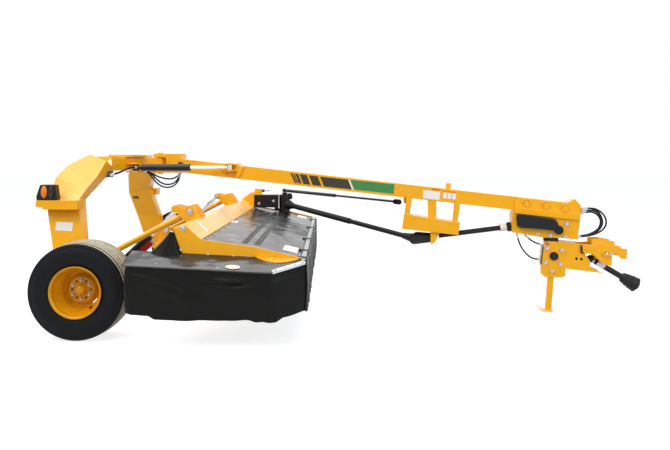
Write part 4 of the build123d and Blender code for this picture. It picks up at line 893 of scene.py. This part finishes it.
def boltTree():
    tree = bpy.data.node_groups.new("bolt_heads", "GeometryNodeTree")
    face = tree.interface
    face.new_socket("Geometry", in_out="INPUT", socket_type="NodeSocketGeometry")
    for label, key in (("Head Radius", "headRadius"), ("Head Height", "headHeight"),
                       ("Washer Radius", "washerRadius"), ("Washer Height", "washerHeight")):
        face.new_socket(label, in_out="INPUT", socket_type="NodeSocketFloat").default_value = boltPlan[key]
    face.new_socket("Sides", in_out="INPUT", socket_type="NodeSocketInt").default_value = 6
    face.new_socket("Finish", in_out="INPUT", socket_type="NodeSocketMaterial")
    face.new_socket("Geometry", in_out="OUTPUT", socket_type="NodeSocketGeometry")
    given = addNode(tree, "NodeGroupInput")
    made = addNode(tree, "NodeGroupOutput")
    headRadius, headHeight = given.outputs["Head Radius"], given.outputs["Head Height"]
    washerRadius, washerHeight = given.outputs["Washer Radius"], given.outputs["Washer Height"]

    def calculate(operation, a, b):
        return addNode(tree, "ShaderNodeMath", {0: a, 1: b}, operation=operation).outputs[0]

    def cone(sides, top, bottom, depth):
        links = {"Vertices": sides, "Radius Top": top, "Radius Bottom": bottom, "Depth": depth}
        return addNode(tree, "GeometryNodeMeshCone", links).outputs["Mesh"]

    def raised(mesh, height):
        lift = addNode(tree, "ShaderNodeCombineXYZ", {"Z": height})
        links = {"Geometry": mesh, "Translation": lift.outputs[0]}
        return addNode(tree, "GeometryNodeTransform", links).outputs[0]

    # washer on the surface, the head above it and a chamfer on the head
    lower = calculate("MULTIPLY", headHeight, 0.78)
    upper = calculate("MULTIPLY", headHeight, 0.22)
    narrow = calculate("MULTIPLY", headRadius, 0.8)
    washer = cone(24, washerRadius, washerRadius, washerHeight)
    head = raised(cone(given.outputs["Sides"], headRadius, headRadius, lower), washerHeight)
    chamfer = raised(cone(given.outputs["Sides"], narrow, headRadius, upper),
        calculate("ADD", washerHeight, lower))
    bolt = addNode(tree, "GeometryNodeJoinGeometry")
    for part in (washer, head, chamfer):
        tree.links.new(part, bolt.inputs[0])
    facing = addNode(tree, "GeometryNodeInputNamedAttribute", {"Name": "facing"}, data_type="FLOAT_VECTOR")
    size = addNode(tree, "GeometryNodeInputNamedAttribute", {"Name": "size"}, data_type="FLOAT")
    turned = addNode(tree, "FunctionNodeAlignRotationToVector", {"Vector": facing.outputs["Attribute"]},
        axis="Z")
    placed = addNode(tree, "GeometryNodeInstanceOnPoints", {
        "Points": given.outputs["Geometry"], "Instance": bolt.outputs[0], "Rotation": turned.outputs[0],
        "Scale": size.outputs["Attribute"]})
    real = addNode(tree, "GeometryNodeRealizeInstances", {"Geometry": placed.outputs[0]})
    coated = addNode(tree, "GeometryNodeSetMaterial", {"Geometry": real.outputs[0],
                                                       "Material": given.outputs["Finish"]})
    tree.links.new(coated.outputs[0], made.inputs[0])
    return tree


boltHeads = boltTree()


def setBolts(name, places, finish, body, sides=6, headHeight=None):
    # places is a list of (point, direction, head radius in millimetres)
    seed = bpy.data.meshes.new("bolt_points")
    seed.from_pydata([p for p, d, r in places], [], [])
    seed.attributes.new("facing", "FLOAT_VECTOR", "POINT").data.foreach_set(
        "vector", [c for p, d, r in places for c in d.normalized()])
    seed.attributes.new("size", "FLOAT", "POINT").data.foreach_set("value", [r / 1000 for p, d, r in places])
    source = bpy.data.objects.new("bolt_points", seed)
    scene.collection.objects.link(source)
    modifier = source.modifiers.new("bolts", "NODES")
    modifier.node_group = boltHeads
    inputs = [item for item in boltHeads.interface.items_tree if item.in_out == "INPUT"]
    sockets = {item.name: item.identifier for item in inputs}
    modifier[sockets["Finish"]] = finish
    modifier[sockets["Sides"]] = sides
    modifier[sockets["Head Height"]] = headHeight or boltPlan["headHeight"]
    bpy.context.view_layer.update()
    mesh = bpy.data.meshes.new_from_object(source.evaluated_get(bpy.context.evaluated_depsgraph_get()))
    mesh.name = name
    bpy.data.objects.remove(source)
    bpy.data.meshes.remove(seed)
    mesh.set_sharp_from_angle(angle=math.radians(25))
    piece = bpy.data.objects.new(name, mesh)
    scene.collection.objects.link(piece)
    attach(piece, body)
    return piece


def onSurface(node, point, look, back=0.25, reach=0.6):
    # where a line through point along look first meets the node, and the outward direction there
    hit, normal = surfaceOf(node).ray_cast(point - look.normalized() * back, look.normalized(), reach)[:2]
    if hit is None:
        print("no surface of", node, "at", [round(c, 3) for c in point])
        return point, -look.normalized()
    return hit, normal if normal.dot(look) < 0 else -normal


def boltAt(node, point, look, radius, back=0.25, reach=0.6):
    hit, normal = onSurface(node, point, look, back, reach)
    return hit, normal, radius


right = -left
headerBolts, headerPins = [], []
for side in (-1, 1):
    inwards = left * -side
    for x, z, r in ((-1153, 701, 9), (-955, 691, 9), (-753, 679, 9), (-552, 661, 9), (-1172, 731, 10)):
        headerBolts.append(boltAt("end_plates", machinePoint(x, side * 1757, z), inwards, r))
    headerBolts.append(boltAt("end_plates", machinePoint(-1153, side * 1757, 901), inwards, 15))
    # pins of the links and lift cylinders, a head on each cheek
    for x, z, y, r in ((-1248, 980, 1060, 20), (-1386, 999, 925, 17)):
        for look in (left, right):
            headerPins.append(boltAt("header_brackets", machinePoint(x, side * y, z) - look * 0.13, look, r,
                                     back=0.0, reach=0.16))
    # two rivets on the shield
    for x, y in ((-1314, 1930), (-843, 1938)):
        headerPins.append((machinePoint(x, side * y, shieldHeight(x, y) + 7), up + left * side * 0.35, 6))
    for x, y in ((-405, 1938), (-330, 1905), (-262, 1862), (-205, 1800)):
        headerBolts.append((machinePoint(x, side * y, shieldHeight(x, y) + 21), up + left * side * 0.3, 7))
# hold-downs of the cover along the beam and bolts of the gearbox
for i in range(13):
    y = -1640 + 3280 * i / 12
    headerBolts.append((machinePoint(-985, y, coverHeight(-985) + 6), up + ahead * 0.15, 8))
for x, z in ((-938, 869), (-744, 902)):
    headerBolts.append(boltAt("gearbox_base", machinePoint(x, 1480, z), left, 14, back=0.1, reach=0.3))
setBolts("header_bolts", headerBolts, zinc, "header")
setBolts("header_pins", headerPins, zinc, "header", sides=28, headHeight=0.5)


def cheekBolts(node, places):
    # a bolt on both sides of the hitch's cheeks at every (distance along, height, head radius)
    bolts = []
    for x, z, r in places:
        for look in (tongueSide, -tongueSide):
            bolts.append(boltAt(node, tonguePoint(x, 0, z) - look * 0.2, look, r, back=0, reach=0.2))
    return bolts


headPlaces = [(4164, 838, 15), (4016, 725, 13), (4150, 716, 13), (3905, 738, 9)]
housingPlaces = [(3988, 600, 14), (4123, 589, 14), (3973, 466, 14), (4110, 455, 14), (4030, 391, 13)]
setBolts("hitch_head_bolts", cheekBolts("hitch_head", headPlaces), zinc, "tongue")
setBolts("lower_housing_bolts", cheekBolts("lower_housing", housingPlaces), zinc, "hitch_swivel")
setBolts("coupler_bolts", cheekBolts("hitch_coupler", [(4557, 562, 13)]), zinc, "coupler")
carriagePins = []
for side in (-1, 1):
    for x, z, y, r in ((-2040, 567, 1060, 20), (-2000, 420, 925, 17)):
        for look in (left, right):
            carriagePins.append(boltAt("arch_legs", machinePoint(x, side * y, z) - look * 0.13, look, r,
                back=0,
                                       reach=0.16))
setBolts("carriage_pins", carriagePins, zinc, "carriage", sides=28, headHeight=0.5)
print("bolts set")

# blank printed films and reflectors
filmIndex = {"white": 0, "orange": 1, "amber": 2, "black": 3, "pink": 4}
films = {body: bmesh.new() for body in ("carriage", "tongue", "header")}


def tongueFilm(low, high, look):
    # low and high are (distance along, height) of the film's corners on the near side
    middle = tonguePoint((low[0] + high[0]) / 2, -75, (low[1] + high[1]) / 2)
    addFilm(films["tongue"], "tongue", middle, tongueSide, high[0] - low[0], high[1] - low[1],
        filmIndex[look],
            turn=math.atan(layout["tongueSlope"]))


def addOval(body, placeAt, look):
    # placeAt gives the point at a share of the two half widths
    middle = films[body].verts.new(placeAt(0, 0))
    rim = []
    for k in range(32):
        turn = 2 * math.pi * k / 32
        rim.append(films[body].verts.new(placeAt(math.cos(turn), math.sin(turn))))
    for k in range(32):
        films[body].faces.new((middle, rim[k - 1], rim[k])).material_index = filmIndex[look]


tongueFilm((2571, 1112), (2778, 1176), "amber")
tongueFilm((2817, 1058), (2983, 1140), "white")
tongueFilm((2905, 1146), (2982, 1162), "orange")
for i in range(3):
    tongueFilm((3013 + 44 * i, 1066 - 4 * i), (3049 + 44 * i, 1124 - 4 * i), "white")
    tongueFilm((3013 + 44 * i, 1130 - 4 * i), (3049 + 44 * i, 1140 - 4 * i), "orange")
tongueFilm((236, 1404), (292, 1424), "black")
addFilm(films["carriage"], "arch_legs", machinePoint(-2340, -1500, 856), left, 150, 75, turn=-0.05)
addFilm(films["carriage"], "arch_legs", machinePoint(-2428, 900, 980), left, 76, 34, filmIndex["black"])
ovalFace = machinePoint(-2119, -700, 1411) - left * 0.0015


def beamOval(across, rise):
    return ovalFace + ahead * 0.018 * across + up * 0.045 * rise


def shieldOval(along, out):
    x, y = -732 + 58 * along, 1922 + 27 * out
    return machinePoint(x, -y, shieldHeight(x, y) + 13)


addOval("carriage", beamOval, "white")
for x, y, w, h in ((-325, -1364, 120, 300), (-363, 1500, 120, 300), (-981, -254, 63, 200)):
    addFilm(films["header"], "top_cover", machinePoint(x, y, coverHeight(x) + 40), -up, w, h, upward=left)
for y in (-1377, 786):
    addFilm(films["header"], "header_beam", machinePoint(-1089, y, 868), -up - ahead, 118, 62, upward=left)
addFilm(films["header"], "end_plates", machinePoint(-660, -1757, 676), left, 90, 18, filmIndex["pink"], 0.5)
addOval("header", shieldOval, "pink")
for body, bm in films.items():
    finishPiece("blank_films_" + body, bm, [whiteFilm, orangeFilm, amberFilm, blackFilm, pinkFilm], body,
                closed=False)
print("films laid")


# rear lamps: rounded housings with domed lenses on their channel
lampPlan = {"shiftX": -24, "innerY": 1180, "outerY": 1262, "base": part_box("rear_lamps")[0][2] * 1000,
    "count": 40}


def lensPoint(centre, side, turn, wide, high, along, share=1.0):
    spread = (ahead * math.cos(turn) * wide + up * math.sin(turn) * high) * share / 1000
    return centre + left * side * along / 1000 + spread


for sideName, side in (("right", -1), ("left", 1)):
    base, count = lampPlan["base"], lampPlan["count"]
    outline = [(-2530, base), (-2536, base + 30), (-2500, base + 136), (-2370, base + 136), (-2352, base)]
    bm = bmesh.new()
    addSlab(bm, [machinePoint(x + lampPlan["shiftX"], side * lampPlan["innerY"], z) for x, z in outline],
            left * side * (lampPlan["outerY"] - lampPlan["innerY"]) / 1000)
    housing = finishPiece("lamp_housing_" + sideName, bm, [plastic], "carriage",
        ["rear_lamps"])
    addBevel(housing, 9, 3)
    bm = bmesh.new()
    for x, wide, high, finish in ((-2462, 27, 53, 0), (-2400, 23, 47, 1)):
        centre = machinePoint(x + lampPlan["shiftX"], side * lampPlan["outerY"], base + 72)
        turns = [2 * math.pi * k / count for k in range(count + 1)]
        rings = []
        for along, share in ((-1, 1.0), (5, 1.0), (9, 0.93), (12, 0.78), (14, 0.5), (15, 0.22)):
            rings.append([bm.verts.new(lensPoint(centre, side, a, wide, high, along,
                share)) for a in turns[:-1]])
        made = [bm.faces.new(rings[-1])]
        for near, far in zip(rings, rings[1:]):
            made += bridgeRings(bm, near, far)
        paintFaces(made, finish)
        # a dark seat round each lens
        for a, b in zip(turns, turns[1:]):
            corners = [bm.verts.new(lensPoint(centre, side, turn, wide + wider, high + wider, 2))
                       for turn, wider in ((a, 0), (b, 0), (b, 5), (a, 5))]
            bm.faces.new(corners).material_index = 2
    bmesh.ops.remove_doubles(bm, verts=bm.verts, dist=0.0001)
    finishPiece("lamp_lenses_" + sideName, bm, [amberLens, redLens, plastic], "carriage",
                ["lamp_lenses"])
print("lamps made")

# black canister of the hitch drive with its hub, and the weld rings of the head
casePlan = {"outer": -150.0, "inner": -92.0, "hub": (4090.0, 779.0)}
bm = bmesh.new()
caseOutline = [(3700, 898), (3712, 919), (3732, 928), (3900, 905), (4048, 884), (4066, 872), (4085, 826),
    (4052, 776), (3900, 788), (3728, 799), (3710, 806)]
addSlab(bm, [tonguePoint(x, casePlan["outer"], z) for x, z in caseOutline],
        tongueSide * (casePlan["inner"] - casePlan["outer"]) / 1000)
case = finishPiece("drive_canister", bm, [plastic], "tongue", ["drive_case"], sharp=50)
addBevel(case, 16, 4, 25)
bm = bmesh.new()
hub = tonguePoint(casePlan["hub"][0], casePlan["inner"], casePlan["hub"][1])
addTurned(bm, [(0, 0), (0, 41), (30, 41), (33, 38), (33, 29), (27, 27), (27, 0)], hub, -tongueSide, 40, 0)
for x, z in ((3799, 1036), (3972, 1014), (4145, 994.5)):
    point, normal = onSurface("hitch_head", tonguePoint(x, -400, z), tongueSide, 0, 0.6)
    addTorus(bm, point, normal, 1, 33, 4, 40, 1)
# pale blank label round the collar of the front guard
guardAlong = (tonguePoint(3560, 0, 778) - tonguePoint(2970, 0, 690)).normalized()
addTurned(bm, [(4, 30), (4, 36), (64, 36), (64, 30)], tonguePoint(3560, 0, 778), guardAlong, 40, 2, loop=True)
finishPiece("head_trim", bm, [plastic, enamel, whiteFilm], "tongue")

# lower housing: hub disc, rear strip, dark neck
bm = bmesh.new()
for look in (tongueSide, -tongueSide):
    point = onSurface("lower_housing", tonguePoint(4049, 0, 529) - look * 0.2, look, 0, 0.2)[0]
    addTurned(bm, [(-1, 0), (-1, 41), (3, 41), (5, 38), (5, 30), (3.5, 28), (3.5, 0)], point, -look, 40, 0)
    for x, z in ((4254, 510), (4298, 506)):
        point = onSurface("lower_housing", tonguePoint(x - 16, 0, z) - look * 0.2, look, 0, 0.2)[0]
        place = point + (tonguePoint(x, 0, z) - tonguePoint(x - 16, 0, z))
        addTurned(bm, [(-8, 0), (-8, 12.5), (1.2, 12.5), (1.2, 9), (-6, 8.6), (-6, 0)], place, -look, 24, 0)
addTurned(bm, [(0, 0), (0, 70), (32, 70), (32, 0)], tonguePoint(4037, 0, 667), up, 48, 0)
addSlab(bm, [tonguePoint(x, -85, z) for x, z in ((3929, 440), (3938, 440), (3959, 612), (3950, 614))],
        tongueSide * 0.04, 0)
# painted shade: a thin black plate stands for the dark opening in the cheek where the coupler's pin passes
addSlab(bm, [tonguePoint(x, -104, z) for x, z in ((4284, 650), (4290, 566), (4352, 560))], tongueSide * 0.004,
    0)
finishPiece("housing_trim", bm, [plastic], "hitch_swivel")
bm = bmesh.new()
for look in (tongueSide, -tongueSide):
    point = onSurface("hitch_coupler", tonguePoint(4546, 0, 572) - look * 0.2, look, 0, 0.2)[0]
    place = point + (tonguePoint(4510, 0, 572) - tonguePoint(4546, 0, 572))
    addTurned(bm, [(-2, 19), (-2, 31), (5, 31), (6.5, 29), (6.5, 21), (5, 19)], place, -look, 40, 0,
        loop=True)
finishPiece("coupler_trim", bm, [enamel], "coupler")
print("hitch dressed")

# drive shaft for the towing machine: guarded tube, bellows cone and yoke
shaftPlan = {"start": (4400.0, 0.0, 500.0), "direction": (0.8604, 0.0, -0.5094)}
shaftStart = tonguePoint(*shaftPlan["start"])
shaftAlong = (tonguePoint(*[a + 100 * b for a, b in zip(shaftPlan["start"], shaftPlan["direction"])])
              - shaftStart).normalized()
bm = bmesh.new()
ball = [(36 * math.cos(math.radians(180 - 12 * i)),
    36 * math.sin(math.radians(180 - 12 * i))) for i in range(13)]
ball[0] = (-36, 0)
guard = [(30, 24), (54, 26), (56, 30), (60, 30), (62, 27), (310, 28), (318, 33), (330, 48), (334, 51),
    (338, 48), (372, 57), (376, 61), (380, 58), (416, 65), (420, 69), (424, 66), (460, 70), (464, 73),
    (468, 71), (468, 66), (458, 58), (458, 36), (474, 38), (480, 40), (486, 40), (489, 30), (489, 0)]
addTurned(bm, ball + guard, shaftStart, shaftAlong, 48, 0)
# collar at the ball, then the blank label with its red edge
addTurned(bm, [(22, 0), (22, 31), (34, 31), (34, 0)], shaftStart, shaftAlong, 40, 1)
addTurned(bm, [(66, 0), (66, 29), (138, 29), (138, 0)], shaftStart, shaftAlong, 40, 1)
addTurned(bm, [(139, 0), (139, 29), (150, 29), (150, 0)], shaftStart, shaftAlong, 40, 2)
finishPiece("drive_shaft_guard", bm, [plastic, zinc, redEnamel], "pto_shaft", ["pto_shaft"],
    sharp=40)

# ribbed boot at the guide rod's end
guideAlong = Vector((0.545184, -0.838277, -0.00813)).normalized()
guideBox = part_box("guide_rod")
guideRoot = machinePoint(layout["headX"], layout["headY"], 1040)
guideReach = (guideBox[1][0] - guideRoot.x) / guideAlong.x * 1000
bm = bmesh.new()
boot = [(0, 0), (0, 17)]
for i in range(5):
    boot += [(6 + 17 * i, 17), (9 + 17 * i, 26), (15 + 17 * i, 26), (18 + 17 * i, 19)]
boot += [(92, 15), (92, 0)]
addTurned(bm, [(-a, r) for a, r in boot], guideRoot + guideAlong * (guideReach - 6) / 1000, guideAlong, 28, 0)
finishPiece("guide_rod_boot", bm, [plastic], "guide_rod", sharp=50)

# drive head on the header gearbox: steel ring at the guard, bent plate above it, oil fitting
driveAlong = Vector((0.578971, -0.8112, -0.082142)).normalized()
head = machinePoint(layout["headX"], layout["headY"], layout["headZ"])
bm = bmesh.new()
addTurned(bm, [(72, 38), (72, 46), (80, 48), (96, 48), (100, 44), (100, 38)], head, driveAlong, 40, 0,
    loop=True)
addSlab(bm, [machinePoint(x, 1510, z) for x, z in ((-665, 948), (-660, 956), (-560, 1002), (-520, 1006),
    (-519, 1000),
                                                  (-558, 995), (-656, 949))], left * 0.075, 1)
addSlab(bm, [machinePoint(x, 1518, z) for x, z in ((-562, 925), (-498, 925), (-490, 960), (-500, 1000),
    (-555, 1004),
                                                  (-566, 960))], left * 0.012, 1)
finishPiece("gearbox_head_trim", bm, [zinc, blackEnamel], "gearbox_head")
bm = bmesh.new()
addBlock(bm, (-996, 1500, 978), (-900, 1560, 1066), finish=0)
addRod(bm, machinePoint(-900, 1530, 1036), machinePoint(-868, 1530, 1040), 17, 20, 2)
addRod(bm, machinePoint(-868, 1530, 1040), machinePoint(-822, 1530, 1046), 8, 16, 1)
addRod(bm, machinePoint(-826, 1530, 1045), machinePoint(-806, 1530, 1047), 11, 6, 1)
fitting = finishPiece("gearbox_fitting", bm, [enamel, zinc, plastic], "header")
addBevel(fitting, 3, 2)
print("drive line dressed")

# cut vinyl on the tongue's sides: stripes that widen towards the hitch, a white edge and a green panel
stripePlan = {
    "stripes": [
        [(1466, 1311), (1488, 1309), (1530, 1208), (1512, 1210)],
        [(1496, 1308), (1511, 1306), (1551, 1206), (1535, 1208)],
        [(1518, 1306), (1549, 1302), (1586, 1203), (1557, 1206)],
        [(1563, 1301), (1641, 1291), (1678, 1191), (1604, 1200)],
        [(1660, 1289), (1753, 1279), (1794, 1179), (1701, 1189)],
        [(1776, 1276), (2065, 1247), (2105, 1147), (1820, 1175)],
    ],
    "edge": [(2069, 1247), (2084, 1246), (2126, 1145), (2110, 1147)],
    "panel": [(2089, 1245), (2537, 1203), (2527, 1106), (2131, 1145)],
    "thickness": 1.2,
}
bm = bmesh.new()
for look in (tongueSide, -tongueSide):
    for finish, shapes in ((0, stripePlan["stripes"]), (1, [stripePlan["edge"]]), (2, [stripePlan["panel"]])):
        for shape in shapes:
            along, height = shape[0]
            onAxis = tonguePoint(along + 20, 0, height - 20)
            point = onSurface("tongue", onAxis - look * 0.3, look, 0, 0.3)[0]
            reach = (point - onAxis).dot(look) * look
            corners = [tonguePoint(x, 0, z) + reach for x, z in shape]
            addSlab(bm, [c + look * 0.0002 for c in corners], -look * stripePlan["thickness"] / 1000, finish)
finishPiece("stripe_films", bm, [stripeVinyl, whiteFilm, greenVinyl], "tongue",
            ["tongue_stripes", "tongue_panels"])

# rounded flap of each end plate that lies on the shield, with its green plug
flapPlan = [(-590, 1755), (-560, 1782), (-500, 1816), (-440, 1834), (-380, 1832), (-320, 1812), (-262, 1784),
            (-232, 1755)]
for sideName, side in (("right", -1), ("left", 1)):
    bm = bmesh.new()
    lower, upper = [], []
    for x, y in flapPlan:
        z = shieldHeight(x, y)
        lower.append(bm.verts.new(machinePoint(x, side * y, z - 4)))
        upper.append(bm.verts.new(machinePoint(x, side * y, z + 16)))
    caps = [bm.faces.new(lower), bm.faces.new(upper)]
    for k in range(len(flapPlan)):
        bm.faces.new((lower[k - 1], lower[k], upper[k], upper[k - 1]))
    bmesh.ops.triangulate(bm, faces=caps)
    addTurned(bm, [(0, 0), (0, 15), (5, 15), (8, 11), (9, 0)],
              machinePoint(-450, side * 1792, shieldHeight(-450, 1792) + 14), up * 0.9 + left * side * 0.43,
              28, 1)
    finishPiece("end_plate_flap_" + sideName, bm, [rimEnamel, greenPlug], "header")
print("stripes and flaps made")


# pale studio floor: keeps the shadow, and glows to white where a picture or a shiny surface sees it
stagePlan = {"tones": (0.4, 0.42), "glow": 0.8, "sky": "DCE8F5", "skyStrength": 0.62}


def seenOutright(tree):
    # 1 for rays of the camera, of reflections and through glass, 0 for the rest
    path = addNode(tree, "ShaderNodeLightPath")
    seen = addNode(tree, "ShaderNodeMath", {0: path.outputs["Is Camera Ray"],
        1: path.outputs["Is Glossy Ray"]},
                   operation="MAXIMUM")
    return addNode(tree, "ShaderNodeMath", {0: seen.outputs[0], 1: path.outputs["Is Transmission Ray"]},
                   operation="MAXIMUM").outputs[0]


floorMesh = bpy.data.meshes.new("floor")
floorMesh.from_pydata([(-40, -30, 0), (40, -30, 0), (40, 60, 0), (-40, 60, 0)], [], [(0, 1, 2, 3)])
floor = bpy.data.objects.new("floor", floorMesh)
scene.collection.objects.link(floor)
floorMaterial = bpy.data.materials.new("studio_floor")
floorMaterial.use_nodes = True
tree = floorMaterial.node_tree
tree.nodes.remove(tree.nodes["Principled BSDF"])
place = addNode(tree, "ShaderNodeTexCoord")
cloud = addNode(tree, "ShaderNodeTexNoise", {"Vector": place.outputs["Object"], "Scale": 0.6, "Detail": 3.0})
tone = mapValue(tree, cloud.outputs["Fac"], 0.0, 1.0, *stagePlan["tones"])
paint = addNode(tree, "ShaderNodeBsdfDiffuse", {"Color": tone})
glow = addNode(tree, "ShaderNodeMath", {0: seenOutright(tree), 1: stagePlan["glow"]}, operation="MULTIPLY")
light = addNode(tree, "ShaderNodeEmission", {"Color": (1, 1, 1, 1), "Strength": glow.outputs[0]})
both = addNode(tree, "ShaderNodeAddShader", {0: paint.outputs[0], 1: light.outputs[0]})
tree.links.new(both.outputs[0], tree.nodes["Material Output"].inputs["Surface"])
floorMesh.materials.append(floorMaterial)

# a pale sky lights the machine, and plain white stands behind it
world = bpy.data.worlds.new("world")
scene.world = world
world.use_nodes = True
tree = world.node_tree
back = tree.nodes["Background"]
back.inputs["Color"].default_value = linearColour(stagePlan["sky"])
back.inputs["Strength"].default_value = stagePlan["skyStrength"]
white = addNode(tree, "ShaderNodeBackground", {"Color": (1, 1, 1, 1), "Strength": 1.0})
mixer = addNode(tree, "ShaderNodeMixShader", {0: seenOutright(tree), 1: back.outputs[0], 2: white.outputs[0]})
tree.links.new(mixer.outputs[0], tree.nodes["World Output"].inputs["Surface"])


def areaLight(name, place, target, size, power, colour):
    data = bpy.data.lights.new(name, "AREA")
    data.shape = "RECTANGLE"
    data.size, data.size_y = size
    data.energy = power
    data.color = linearColour(colour)[:3]
    lamp = bpy.data.objects.new(name, data)
    lamp.location = place
    lamp.rotation_euler = (Vector(target) - Vector(place)).to_track_quat("-Z", "Y").to_euler()
    scene.collection.objects.link(lamp)


areaLight("key", (-4.5, -5.0, 7.5), (-0.5, 0, 0.6), (6, 6), 500, "FFF6E8")
areaLight("fill", (5.0, -6.5, 4.0), (0.5, 0, 0.6), (5, 4), 190, "EEF4FF")
areaLight("top", (0, 1.0, 8.5), (0, 0, 0), (9, 7), 560, "FFFFFF")
print("floor and light set")
